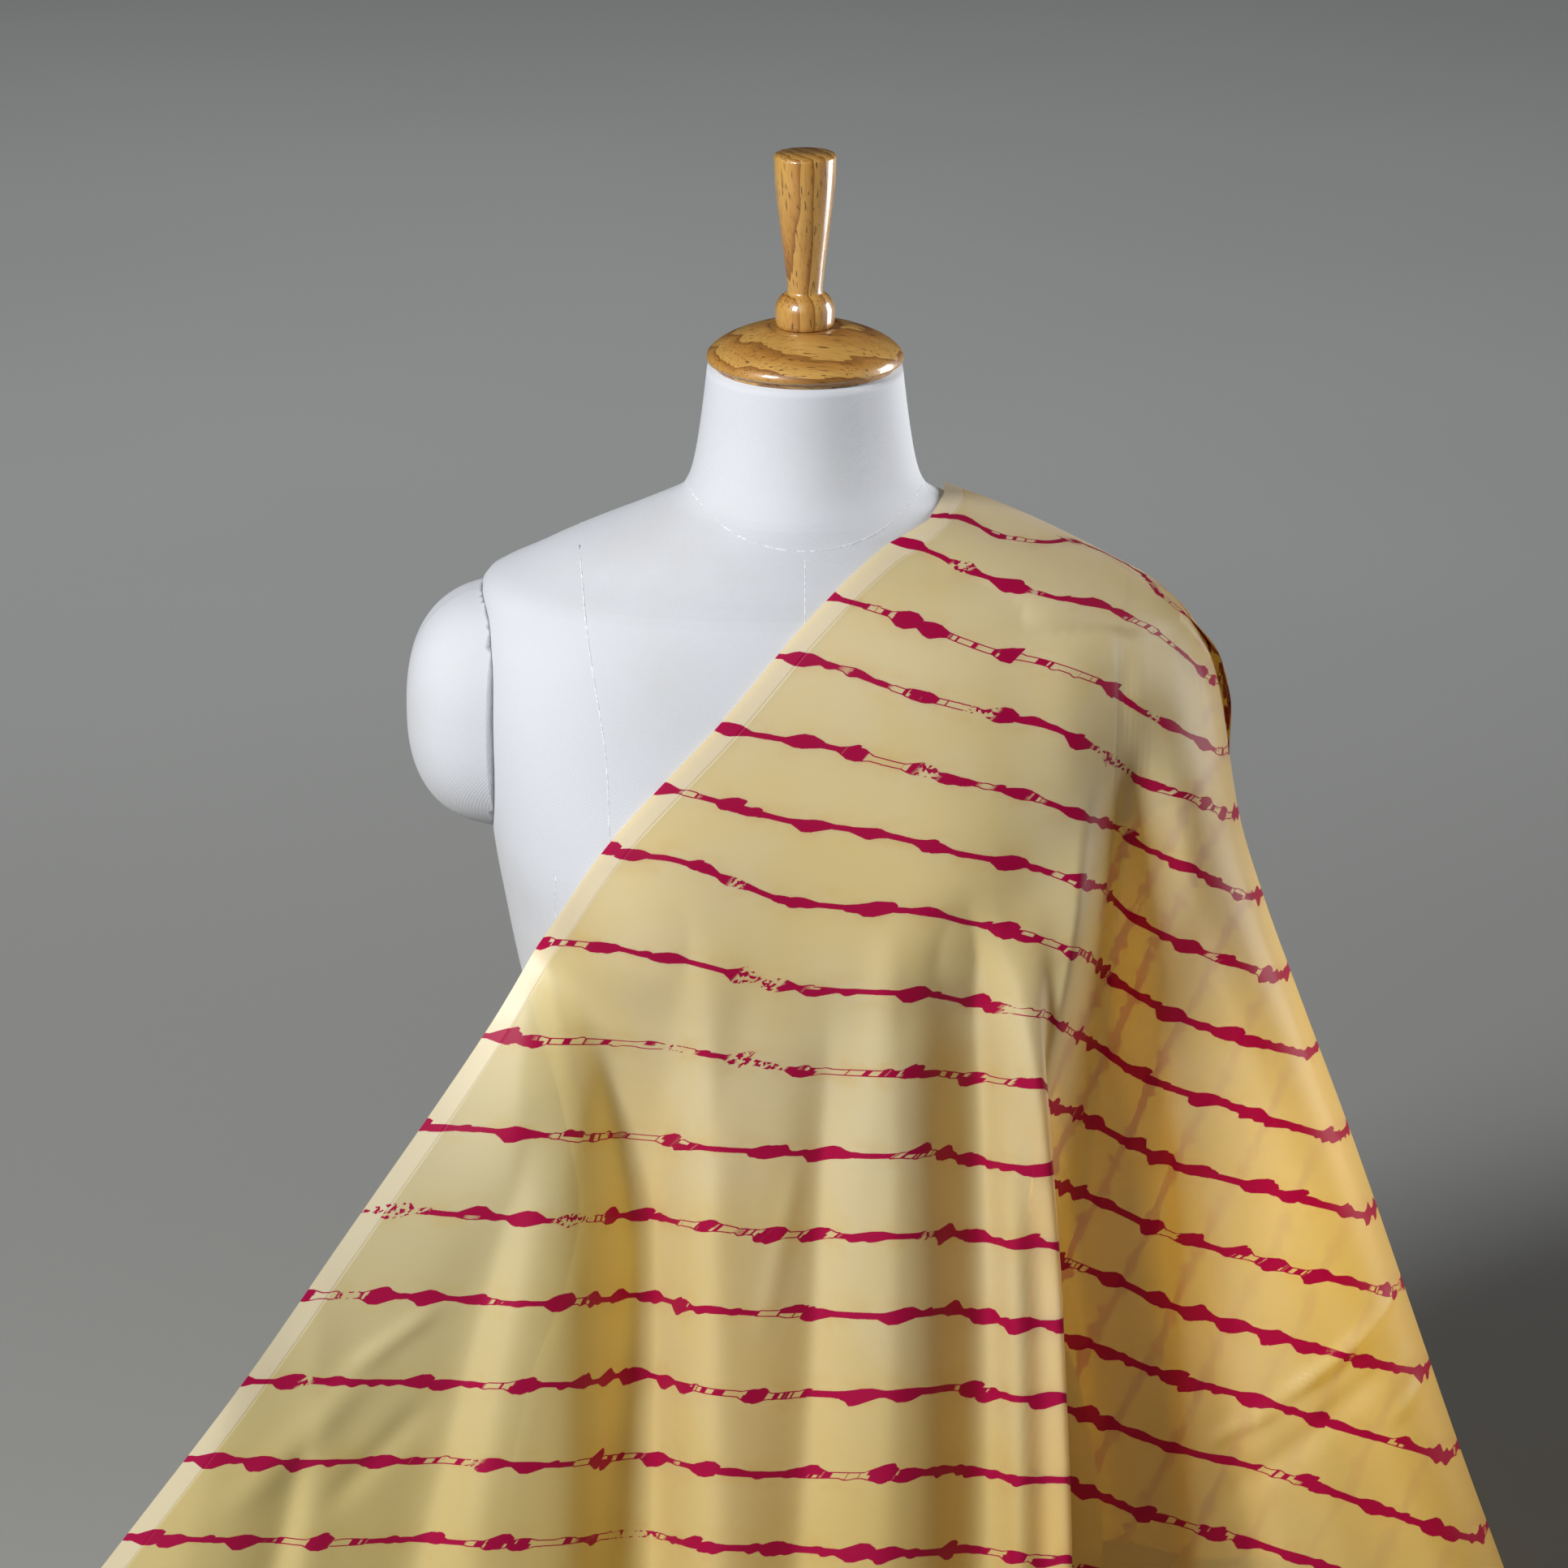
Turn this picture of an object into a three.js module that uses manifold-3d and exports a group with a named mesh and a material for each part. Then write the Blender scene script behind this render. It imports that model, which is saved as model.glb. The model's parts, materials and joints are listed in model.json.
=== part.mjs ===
// A length of leheriya tie-dye cloth draped over one shoulder of a canvas-covered dress form.
// Millimetres. +Z is up from the surface that the form stands on, the form faces -Y, and +X is the side of its
// left arm, which the cloth covers. The origin is the middle of the underside of the base board.

import * as THREE from 'three';
import { mergeVertices } from 'three/addons/utils/BufferGeometryUtils.js';
import Module from 'manifold-3d';

// ---------------------------------------------------------------- driving dimensions

const TOUCH = 0.3;            // gap kept between two pieces that touch
const BOARD_THICK = 18;       // plain board that closes the form underneath
const BOARD_INSET = 3;        // the board stops a little inside the canvas
const NECK_TOP = 729;         // flat top of the neck

// The form's level sections: half width, depth in front of and behind the armhole line, and how square each is
// (2 is an ellipse). The last row is the flat top of the neck.
const BODY_SECTIONS = [
  { z: BOARD_THICK + TOUCH, half: 158, front: 108, back: 112, square: 2.4 },
  { z: 70, half: 163, front: 112, back: 116, square: 2.4 },
  { z: 150, half: 151, front: 106, back: 104, square: 2.3 },
  { z: 210, half: 130, front: 98, back: 88, square: 2.2 },
  { z: 260, half: 121, front: 94, back: 80, square: 2.2 },
  { z: 320, half: 130, front: 101, back: 84, square: 2.25 },
  { z: 402, half: 151, front: 120, back: 96, square: 2.35 },
  { z: 440, half: 158, front: 127, back: 102, square: 2.5 },
  { z: 487, half: 165, front: 124, back: 106, square: 2.9 },
  { z: 550, half: 169, front: 113, back: 104, square: 3.3 },
  { z: 587, half: 170, front: 104, back: 96, square: 3 },
  { z: 613, half: 169, front: 94, back: 84, square: 2.3 },
  { z: 630.5, half: 140, front: 85, back: 74, square: 2 },
  { z: 641.5, half: 115, front: 79, back: 68, square: 2 },
  { z: 651.5, half: 89, front: 73, back: 62, square: 2 },
  { z: 662.5, half: 65, front: 67, back: 58, square: 2 },
  { z: 675, half: 59, front: 60, back: 56, square: 2 },
  { z: 700, half: 54.5, front: 53, back: 54, square: 2 },
  { z: NECK_TOP, half: 51, front: 50, back: 52, square: 2 },
];
const BUST = { x: 86, z: 455, wide: 46, tall: 58, proud: 8 };
const PAD = { x: 150, z: 546, reach: 60, deep: 61, above: 65, below: 64, square: 2.5, tuck: 20 };

// Turned wood, as radius and height pairs from the bottom of each piece to its top.
const CAP_PROFILE = [
  { r: 47, z: 0 }, { r: 47.5, z: 2.4 }, { r: 50.6, z: 3.2 }, { r: 51.5, z: 4.8 }, { r: 51, z: 6.8 },
  { r: 47.5, z: 10.6 }, { r: 41, z: 14.6 }, { r: 33, z: 18 }, { r: 25, z: 20.6 }, { r: 19.5, z: 21.8 },
  { r: 18.2, z: 21.4 }, { r: 17.2, z: 21.4 },
];
const FINIAL_PROFILE = [
  { r: 14.6, z: 0 }, { r: 15.3, z: 2 }, { r: 15.6, z: 6.5 }, { r: 15.5, z: 9.5 }, { r: 14.3, z: 13.2 },
  { r: 12, z: 16.2 }, { r: 9.6, z: 18 }, { r: 9.2, z: 19.2 }, { r: 9.5, z: 23 }, { r: 16.3, z: 89.8 },
  { r: 15.5, z: 91.2 },
];

// The cloth. Its selvedge runs from the neck point across the chest to the surface. Its spine, where the front
// hangs over to become the back, is the shoulder and then a soft fold that falls outside the arm.
const CLOTH = {
  thick: 2, clear: 4.6, spread: 13, edgeRound: 7, turn: 34, bridge: 34, hemRadius: 16, hemLay: 40,
};
const NECK_POINT_Z = 662.5;
const ARM_CORNER_Z = 568;
const SELVEDGE = [
  { z: -60, x: -496 }, { z: 0, x: -453 }, { z: 82, x: -394 }, { z: 218, x: -293 }, { z: 312, x: -225 },
  { z: 397, x: -166 }, { z: 443, x: -137 }, { z: 500, x: -105 }, { z: 570, x: -42 }, { z: 619, x: 2 },
  { z: 648, x: 35 }, { z: 658, x: 53 }, { z: NECK_POINT_Z, x: 73 },
];
const BACK_SELVEDGE = [
  { z: -60, x: 158 }, { z: 0, x: 152 }, { z: 200, x: 126 }, { z: 400, x: 101 }, { z: 560, x: 83 },
  { z: NECK_POINT_Z, x: 73 },
];
const SPINE = [
  { z: -60, x: 418 }, { z: 0, x: 400 }, { z: 120, x: 357 }, { z: 302, x: 294 }, { z: 388, x: 262 },
  { z: 435, x: 245 }, { z: 481, x: 231 }, { z: 515, x: 225 }, { z: 548, x: 220 }, { z: ARM_CORNER_Z, x: 215 },
  { z: 587, x: 207 }, { z: 601, x: 197.5 }, { z: 610.5, x: 187 }, { z: 618.5, x: 172 }, { z: 635.5, x: 140 },
  { z: 647, x: 115 }, { z: 657, x: 89 }, { z: NECK_POINT_Z, x: 73 },
];

// How far the hanging cloth stands out in front and behind. It is level at its crest and falls from there
// towards the selvedge. On the other side a wall drops to the flank, which leans in towards the spine.
const FRONT_HANG = [
  { z: -60, crest: 168, crestX: 120, fall: 0.02, flank: 60, lean: 0.14, wallX: 144, wall: 20 },
  { z: 100, crest: 157, crestX: 118, fall: 0.03, flank: 58, lean: 0.15, wallX: 145, wall: 20 },
  { z: 300, crest: 141, crestX: 114, fall: 0.07, flank: 54, lean: 0.16, wallX: 147, wall: 18 },
  { z: 400, crest: 134, crestX: 110, fall: 0.14, flank: 55, lean: 0.12, wallX: 151, wall: 16 },
  { z: 460, crest: 121, crestX: 100, fall: 0.22, flank: 60, lean: 0.1, wallX: 153, wall: 14 },
  { z: 520, crest: 96, crestX: 95, fall: 0.25, flank: 64, lean: 0.18, wallX: 156, wall: 14 },
  { z: 550, crest: 72, crestX: 95, fall: 0.25, flank: 46, lean: 0.6, wallX: 160, wall: 16 },
  { z: 600, crest: 20, crestX: 95, fall: 0.25, flank: 26, lean: 0.95, wallX: 158, wall: 20 },
  { z: 680, crest: -40, crestX: 90, fall: 0.25, flank: -30, lean: 0, wallX: 130, wall: 25 },
];
const BACK_HANG = [
  { z: -60, crest: 128, crestX: 168, fall: 0.1, flank: 60, lean: 0.3, wallX: 210, wall: 70 },
  { z: 100, crest: 124, crestX: 160, fall: 0.1, flank: 56, lean: 0.32, wallX: 195, wall: 65 },
  { z: 300, crest: 114, crestX: 140, fall: 0.1, flank: 50, lean: 0.36, wallX: 170, wall: 60 },
  { z: 460, crest: 104, crestX: 124, fall: 0.1, flank: 44, lean: 0.4, wallX: 150, wall: 50 },
  { z: 540, crest: 84, crestX: 112, fall: 0.2, flank: 40, lean: 0.3, wallX: 140, wall: 40 },
  { z: 600, crest: 30, crestX: 100, fall: 0.2, flank: 20, lean: 0.1, wallX: 130, wall: 40 },
  { z: 680, crest: -30, crestX: 90, fall: 0.2, flank: -30, lean: 0, wallX: 130, wall: 40 },
];

// Soft folds, a row each: where the fold starts and where it meets the surface, its width there on the left and
// on the right, and how far it stands out (a trough is negative).
const FRONT_FOLDS = [
  { topX: 84, topZ: 490, footX: 82, left: 26, right: 15, out: -30 },
  { topX: 108, topZ: 470, footX: 112, left: 14, right: 14, out: 6 },
  { topX: 46, topZ: 470, footX: 28, left: 26, right: 26, out: 8 },
  { topX: 12, topZ: 440, footX: -17, left: 22, right: 15, out: -12 },
  { topX: -50, topZ: 470, footX: -54, left: 24, right: 24, out: 8 },
  { topX: -84, topZ: 500, footX: -88, left: 34, right: 22, out: -43 },
  { topX: -138, topZ: 470, footX: -190, left: 34, right: 34, out: 9 },
  { topX: -140, topZ: 370, footX: -236, left: 34, right: 17, out: -14 },
  { topX: -250, topZ: 290, footX: -280, left: 18, right: 18, out: 4 },
  { topX: -250, topZ: 240, footX: -308, left: 17, right: 12, out: -7 },
  { topX: -262, topZ: 330, footX: -365, left: 60, right: 60, out: 15 },
  { topX: 192, topZ: 400, footX: 216, left: 30, right: 11, out: -8 },
  { topX: 208, topZ: 340, footX: 262, left: 40, right: 12, out: -9 },
  { topX: 250, topZ: 330, footX: 310, left: 36, right: 36, out: 8 },
];
const BACK_FOLDS = [
  { topX: 110, topZ: 520, footX: 176, left: 20, right: 20, out: 8 },
  { topX: 138, topZ: 500, footX: 222, left: 20, right: 20, out: -10 },
  { topX: 170, topZ: 480, footX: 272, left: 24, right: 24, out: 9 },
  { topX: 196, topZ: 420, footX: 326, left: 24, right: 24, out: -9 },
];
const FOLD_START = 110;       // height over which a fold comes to its full depth
const FOLD_POWER = 1.6;       // how pointed its ridge or trough is

// Where the sheet is taut from the chest to the arm, over the armhole.
const SHOULDER = { fromX: 112, least: 50, square: 1.9, footZ: 555, fade: 60 };

// The one pleat, where the front overlaps itself: the middle of its S, how much cloth it takes each way, how
// tight it is and how far its layers stand apart.
const PLEAT = [
  { z: -60, x: 128, take: 4, tight: 18, apart: 8 },
  { z: 20, x: 129, take: 9, tight: 18, apart: 10 },
  { z: 90, x: 129, take: 26, tight: 18, apart: 13 },
  { z: 250, x: 126, take: 22, tight: 17, apart: 12 },
  { z: 370, x: 124, take: 12, tight: 15, apart: 9 },
  { z: 430, x: 124, take: 4, tight: 15, apart: 5 },
  { z: 480, x: 122, take: 0, tight: 15, apart: 0 },
  { z: 680, x: 100, take: 0, tight: 15, apart: 0 },
];

// How finely the faceted pieces are divided.
const MESH = {
  ring: 48, padRing: 24, padRows: 12, turned: 32, rows: 28, frontColumns: 54, ridgeColumns: 20, fan: 1.6,
};
const PLEAT_COLUMNS = { spot: 0.685, reach: 0.045, extra: 5 };

// ---------------------------------------------------------------- helpers

const lerp = (a, b, f) => a + (b - a) * f;
const clamp01 = (v) => Math.min(1, Math.max(0, v));
const smooth = (v) => clamp01(v) ** 2 * (3 - 2 * clamp01(v));
const softMax = (a, b, width) => 0.5 * (a + b + Math.hypot(a - b, width));

// A smooth curve through a table's rows that never swings past them, as a function of height.
function follow(rows, column) {
  const z = rows.map((row) => row.z);
  const v = rows.map((row) => row[column]);
  const last = rows.length - 1;
  const slope = z.slice(1).map((zi, i) => (v[i + 1] - v[i]) / (zi - z[i]));
  const tangent = v.map((_, i) => {
    if (i === 0 || i === last) return slope[i === 0 ? 0 : last - 1];
    const [below, above] = [slope[i - 1], slope[i]];
    return below * above <= 0 ? 0 : (2 * below * above) / (below + above);
  });
  return (height) => {
    const h = Math.min(z[last], Math.max(z[0], height));
    let i = 0;
    while (i < last - 1 && h > z[i + 1]) i++;
    const step = z[i + 1] - z[i];
    const f = (h - z[i]) / step;
    const g = 1 - f;
    return (1 + 2 * f) * g * g * v[i] + f * g * g * step * tangent[i]
      + (3 - 2 * f) * f * f * v[i + 1] - f * f * g * step * tangent[i + 1];
  };
}

// A mesh from points and triangles.
function meshOf(points, triangles) {
  const geometry = new THREE.BufferGeometry();
  geometry.setAttribute('position', new THREE.Float32BufferAttribute(points.flat(), 3));
  geometry.setIndex(triangles.flat());
  return geometry;
}

// A closed skin over rings of equally many points, listed from bottom to top, each ring turning from +X to +Y.
function skinOver(rings) {
  const count = rings[0].length;
  const points = rings.flat();
  const triangles = [];
  for (let r = 0; r + 1 < rings.length; r++) {
    for (let i = 0; i < count; i++) {
      const a = r * count + i;
      const b = r * count + ((i + 1) % count);
      triangles.push([a, b, b + count], [a, b + count, a + count]);
    }
  }
  for (const [ring, up] of [[0, false], [rings.length - 1, true]]) {
    const middle = points.length;
    const sum = rings[ring].reduce((s, p) => s.map((v, k) => v + p[k] / count), [0, 0, 0]);
    points.push(sum);
    for (let i = 0; i < count; i++) {
      const a = ring * count + i;
      const b = ring * count + ((i + 1) % count);
      triangles.push(up ? [a, b, middle] : [b, a, middle]);
    }
  }
  return meshOf(points, triangles);
}

const wasm = await Module();
wasm.setup();

function solidOf(geometry) {
  const bare = geometry.clone();
  bare.deleteAttribute('normal');
  bare.deleteAttribute('uv');
  const merged = mergeVertices(bare, 1e-4);
  return new wasm.Manifold(new wasm.Mesh({
    numProp: 3,
    vertProperties: new Float32Array(merged.attributes.position.array),
    triVerts: new Uint32Array(merged.index.array),
  }));
}

function geometryOf(solid) {
  const mesh = solid.getMesh();
  const geometry = new THREE.BufferGeometry();
  geometry.setAttribute('position', new THREE.Float32BufferAttribute(mesh.vertProperties, 3));
  geometry.setIndex([...mesh.triVerts]);
  return geometry;
}

// ---------------------------------------------------------------- the dress form

const bodyHalf = follow(BODY_SECTIONS, 'half');
const bodySquare = follow(BODY_SECTIONS, 'square');
const bodyDepth = { front: follow(BODY_SECTIONS, 'front'), back: follow(BODY_SECTIONS, 'back') };

const bustProud = (x, z) =>
  BUST.proud * Math.exp(-(((Math.abs(x) - BUST.x) / BUST.wide) ** 2) - ((z - BUST.z) / BUST.tall) ** 2);

// One level ring of the form, standing out by grow.
function bodyRing(z, grow = 0) {
  const power = 2 / bodySquare(z);
  return Array.from({ length: MESH.ring }, (_, i) => {
    const turn = (2 * Math.PI * i) / MESH.ring;
    const c = Math.cos(turn);
    const s = Math.sin(turn);
    const x = (bodyHalf(z) + grow) * Math.sign(c) * Math.abs(c) ** power;
    const flat = Math.abs(s) ** power;
    const y = s < 0 ? -(bodyDepth.front(z) + grow + bustProud(x, z)) * flat : (bodyDepth.back(z) + grow) * flat;
    return [x, y, z];
  });
}

function bodyLevels() {
  const levels = [BODY_SECTIONS[0].z];
  for (let i = 1; i < BODY_SECTIONS.length; i++) {
    const [low, high] = [BODY_SECTIONS[i - 1].z, BODY_SECTIONS[i].z];
    const parts = Math.max(1, Math.round((high - low) / 34));
    for (let p = 1; p <= parts; p++) levels.push(lerp(low, high, p / parts));
  }
  return levels;
}

const torso = () => skinOver(bodyLevels().map((z) => bodyRing(z)));
const grownTorso = () => skinOver(bodyLevels().map((z) => bodyRing(z, TOUCH)));

// The short upper-arm cap on one side: a squared ellipsoid, tucked into the armhole and cut by the torso.
function armPad(side) {
  const rings = [];
  for (let r = 1; r < MESH.padRows; r++) {
    const tilt = Math.PI * (r / MESH.padRows - 0.5);
    const power = 2 / PAD.square;
    const rise = Math.sign(tilt) * Math.abs(Math.sin(tilt)) ** power;
    const waist = Math.cos(tilt) ** power;
    const z = PAD.z + rise * (tilt > 0 ? PAD.above : PAD.below);
    rings.push(Array.from({ length: MESH.padRing }, (_, i) => {
      const turn = (2 * Math.PI * i) / MESH.padRing;
      const c = Math.cos(turn);
      const s = Math.sin(turn);
      const x = (c > 0 ? PAD.reach : PAD.tuck) * Math.sign(c) * Math.abs(c) ** power * waist;
      const y = PAD.deep * Math.sign(s) * Math.abs(s) ** power * waist;
      return [PAD.x + x, y, z];
    }));
  }
  const left = solidOf(skinOver(rings));
  const whole = side > 0 ? left : left.mirror([1, 0, 0]);
  const cut = whole.subtract(solidOf(grownTorso()));
  return geometryOf(cut.decompose().sort((a, b) => b.volume() - a.volume())[0]);
}

function baseBoard() {
  const outline = new THREE.Shape();
  bodyRing(BODY_SECTIONS[0].z, -BOARD_INSET).forEach(([x, y], i) => {
    if (i === 0) outline.moveTo(x, y);
    else outline.lineTo(x, y);
  });
  outline.closePath();
  return new THREE.ExtrudeGeometry(outline, { depth: BOARD_THICK, bevelEnabled: false });
}

// A piece turned about its own upright axis from a profile of radius and height rows.
function turned(profile, bottomZ) {
  const top = profile[profile.length - 1];
  const outline = [
    new THREE.Vector2(0, profile[0].z),
    ...profile.map(({ r, z }) => new THREE.Vector2(r, z)),
    new THREE.Vector2(0, top.z),
  ];
  const geometry = new THREE.LatheGeometry(outline, MESH.turned);
  geometry.rotateX(Math.PI / 2);
  geometry.translate(0, 0, bottomZ);
  return geometry;
}

// ---------------------------------------------------------------- the cloth

const selvedgeX = follow(SELVEDGE, 'x');
const backSelvedgeX = follow(BACK_SELVEDGE, 'x');
const spineX = follow(SPINE, 'x');
const pleat = Object.fromEntries(['x', 'take', 'tight', 'apart'].map((name) => [name, follow(PLEAT, name)]));
const hangOf = (rows) => Object.fromEntries(
  Object.keys(rows[0]).filter((name) => name !== 'z').map((name) => [name, follow(rows, name)]),
);

const PANELS = {
  front: { edgeX: selvedgeX, hang: hangOf(FRONT_HANG), folds: FRONT_FOLDS, sign: -1, faceFrom: -110 },
  back: { edgeX: backSelvedgeX, hang: hangOf(BACK_HANG), folds: BACK_FOLDS, sign: 1, faceFrom: 95 },
};

// How deep the form reaches at a point of the cloth, with the cloth's clearance added all round.
function formDepth(x, z, side) {
  const level = z - CLOTH.clear;
  const n = bodySquare(level);
  const across = Math.abs(x) / (bodyHalf(level) + CLOTH.clear);
  const round = Math.max(0, 1 - across ** n) ** (1 / n);
  const bust = side === 'front' ? bustProud(x, level) : 0;
  const body = level > NECK_TOP ? 0 : (bodyDepth[side](level) + CLOTH.clear + bust) * round;
  const out = Math.max(0, x - PAD.x) / (PAD.reach + CLOTH.clear);
  const rise = z - PAD.z;
  const up = Math.abs(rise) / ((rise > 0 ? PAD.above : PAD.below) + CLOTH.clear);
  const padRound = Math.max(0, 1 - out ** PAD.square - up ** PAD.square) ** (1 / PAD.square);
  const pad = x > 0 ? (PAD.deep + CLOTH.clear) * padRound : 0;
  const bridge = CLOTH.bridge * smooth(Math.min(body, pad) / 45) * smooth((x - 95) / 50);
  return softMax(body, pad, bridge);
}

// The taut sheet from the chest over the armhole to the arm.
function shoulderDepth(x, z, side) {
  const start = Math.min(SHOULDER.fromX, spineX(z) - SHOULDER.least);
  if (x <= start) return 0;
  const share = clamp01((x - start) / (spineX(z) - start));
  const taut = formDepth(start, z, side) * Math.sqrt(1 - share ** SHOULDER.square);
  return taut * smooth((z - SHOULDER.footZ) / SHOULDER.fade);
}

// The free-hanging sheet: level in front, then a wall down to the flank, which runs to the spine and turns there.
function hangDepth(x, z, hang) {
  const inward = Math.max(0, spineX(z) - x);
  const level = hang.crest(z) - Math.max(0, hang.crestX(z) - x) * hang.fall(z);
  const turned = Math.sqrt(1 - (1 - clamp01(inward / CLOTH.turn)) ** 2);
  const flank = (hang.flank(z) + hang.lean(z) * inward) * turned;
  const share = smooth((x - hang.wallX(z)) / (2 * hang.wall(z)) + 0.5);
  return lerp(level, flank, share);
}

function foldDepth(x, z, folds) {
  return folds.reduce((sum, fold) => {
    const fallen = clamp01((fold.topZ - z) / fold.topZ);
    const middle = lerp(fold.topX, fold.footX, fallen);
    const width = (x < middle ? fold.left : fold.right) * lerp(0.6, 1, fallen);
    const shape = Math.exp(-((Math.abs(x - middle) / width) ** FOLD_POWER));
    return sum + fold.out * smooth((fold.topZ - z) / FOLD_START) * shape;
  }, 0);
}

// A point of the cloth: across runs from the selvedge (0) to the spine (1), down from the shoulder (0) to the
// hem (1). The outline is a patch between the selvedge, the spine, the shoulder and the hem.
function clothPoint(across, down, side) {
  const panel = PANELS[side];
  const hemZ = -CLOTH.hemLay;
  const edgeZ = lerp(NECK_POINT_Z, hemZ, down);
  const spineZ = lerp(ARM_CORNER_Z, hemZ, down);
  const ridgeZ = lerp(NECK_POINT_Z, ARM_CORNER_Z, across);
  const cornersX = [[spineX(NECK_POINT_Z), spineX(ARM_CORNER_Z)], [panel.edgeX(hemZ), spineX(hemZ)]];
  const blend = (edge, spine, top, foot, corners) =>
    lerp(edge, spine, across) + lerp(top, foot, down)
    - lerp(lerp(corners[0][0], corners[0][1], across), lerp(corners[1][0], corners[1][1], across), down);
  const footX = lerp(cornersX[1][0], cornersX[1][1], across);
  let x = blend(panel.edgeX(edgeZ), spineX(spineZ), spineX(ridgeZ), footX, cornersX);
  const z = blend(edgeZ, spineZ, ridgeZ, hemZ, [[NECK_POINT_Z, ARM_CORNER_Z], [hemZ, hemZ]]);

  const held = Math.max(formDepth(x, z, side), shoulderDepth(x, z, side));
  let depth = softMax(held, hangDepth(x, z, panel.hang), CLOTH.spread);
  depth += foldDepth(x, z, panel.folds);
  if (side === 'front') {
    const along = (x - pleat.x(z)) / pleat.tight(z);
    const swing = (2 * along) / (1 + along ** 2);
    const fade = smooth((spineX(z) - x) / 60) * smooth((x - panel.edgeX(z)) / 60);
    x -= pleat.take(z) * swing * fade;
    depth -= pleat.apart(z) * swing * fade;
  }
  depth = Math.max(depth, formDepth(x, z, side));
  const inward = clamp01((spineX(z) - x) / CLOTH.edgeRound);
  depth *= Math.sqrt(1 - (1 - inward) ** 2);
  return layOnSurface(x, panel.sign * depth, z, THREE.MathUtils.degToRad(panel.faceFrom * (1 - across ** 2.2)));
}

// Below the hem's bend the sheet turns outward and lies flat; facing is the way it faces, seen from above.
function layOnSurface(x, y, z, facing) {
  const radius = CLOTH.hemRadius;
  const past = Math.max(0, radius - z);
  const bend = Math.min(past / radius, Math.PI / 2);
  const out = radius * (1 - Math.cos(bend)) + Math.max(0, past - (radius * Math.PI) / 2);
  const height = z >= radius ? z : radius * (1 - Math.sin(bend));
  return [x + out * Math.cos(facing), y + out * Math.sin(facing), height + CLOTH.thick / 2];
}

// Where the front's columns lie across the hem: evenly, but closer together at the pleat.
function hemStations() {
  const steps = 400;
  const total = [0];
  for (let i = 1; i <= steps; i++) {
    const away = (i / steps - PLEAT_COLUMNS.spot) / PLEAT_COLUMNS.reach;
    total.push(total[i - 1] + 1 + PLEAT_COLUMNS.extra * Math.exp(-(away ** 2)));
  }
  return Array.from({ length: MESH.frontColumns + 1 }, (_, j) => {
    const want = (total[steps] * j) / MESH.frontColumns;
    const i = Math.min(steps - 1, total.findIndex((t, k) => k > 0 && t >= want) - 1);
    return j === 0 ? 0 : (i + (want - total[i]) / (total[i + 1] - total[i])) / steps;
  });
}

// The sheet's middle surface. Front and back share the shoulder row and the spine column, so that they are one
// piece of cloth. The front's outer columns all start at the neck point and fan out.
function clothSurface() {
  const { rows, frontColumns, ridgeColumns } = MESH;
  const points = [];
  const add = (point) => points.push(point) - 1;
  const stations = hemStations();
  const collapsed = frontColumns - ridgeColumns;
  const front = [];
  const back = [];
  for (let r = 0; r <= rows; r++) {
    const down = (r / rows) ** 1.8;
    const fanned = 1 - (1 - Math.min(1, MESH.fan * Math.sqrt(down))) ** 2;
    front.push(stations.map((foot, j) => {
      if (r === 0 && j > 0 && j <= collapsed) return 0;
      const ridge = Math.max(0, (j - collapsed) / ridgeColumns);
      return add(clothPoint(lerp(ridge, foot, fanned), down, 'front'));
    }));
    back.push(Array.from({ length: ridgeColumns + 1 }, (_, j) => {
      if (r === 0) return front[0][j === 0 ? 0 : collapsed + j];
      if (j === ridgeColumns) return front[r][frontColumns];
      const even = j / ridgeColumns;
      const crowded = 1 - (1 - even) ** 1.3;
      return add(clothPoint(lerp(even, crowded, fanned), down, 'back'));
    }));
  }
  const triangles = [];
  const addQuad = (a, b, c, d) => {
    if (a !== b && b !== c && c !== a) triangles.push([a, b, c]);
    if (a !== c && c !== d && d !== a) triangles.push([a, c, d]);
  };
  for (let r = 0; r < rows; r++) {
    for (let j = 0; j < frontColumns; j++) {
      addQuad(front[r][j], front[r + 1][j], front[r + 1][j + 1], front[r][j + 1]);
    }
    for (let j = 0; j < ridgeColumns; j++) {
      addQuad(back[r][j], back[r][j + 1], back[r + 1][j + 1], back[r + 1][j]);
    }
  }
  return { points: points.map((p) => new THREE.Vector3(...p)), triangles };
}

// A closed sheet of even thickness about a middle surface; nothing reaches below the surface it lies on.
function thicken({ points, triangles }, thick) {
  const normals = points.map(() => new THREE.Vector3());
  const edges = new Map();
  for (const [a, b, c] of triangles) {
    const ab = points[b].clone().sub(points[a]);
    const normal = ab.cross(points[c].clone().sub(points[a]));
    for (const i of [a, b, c]) normals[i].add(normal);
    for (const [i, j] of [[a, b], [b, c], [c, a]]) {
      if (edges.has(`${j},${i}`)) edges.delete(`${j},${i}`);
      else edges.set(`${i},${j}`, [i, j]);
    }
  }
  const shift = (direction) => points.map((point, i) => {
    const moved = point.clone().addScaledVector(normals[i].clone().normalize(), (direction * thick) / 2);
    return [moved.x, moved.y, Math.max(0, moved.z)];
  });
  const count = points.length;
  const faces = triangles.flatMap(([a, b, c]) => [[a, b, c], [c + count, b + count, a + count]]);
  for (const [i, j] of edges.values()) faces.push([j, i, i + count], [j, i + count, j + count]);
  return meshOf([...shift(1), ...shift(-1)], faces);
}

const cloth = () => thicken(clothSurface(), CLOTH.thick);

// ---------------------------------------------------------------- materials and assembly

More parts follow.
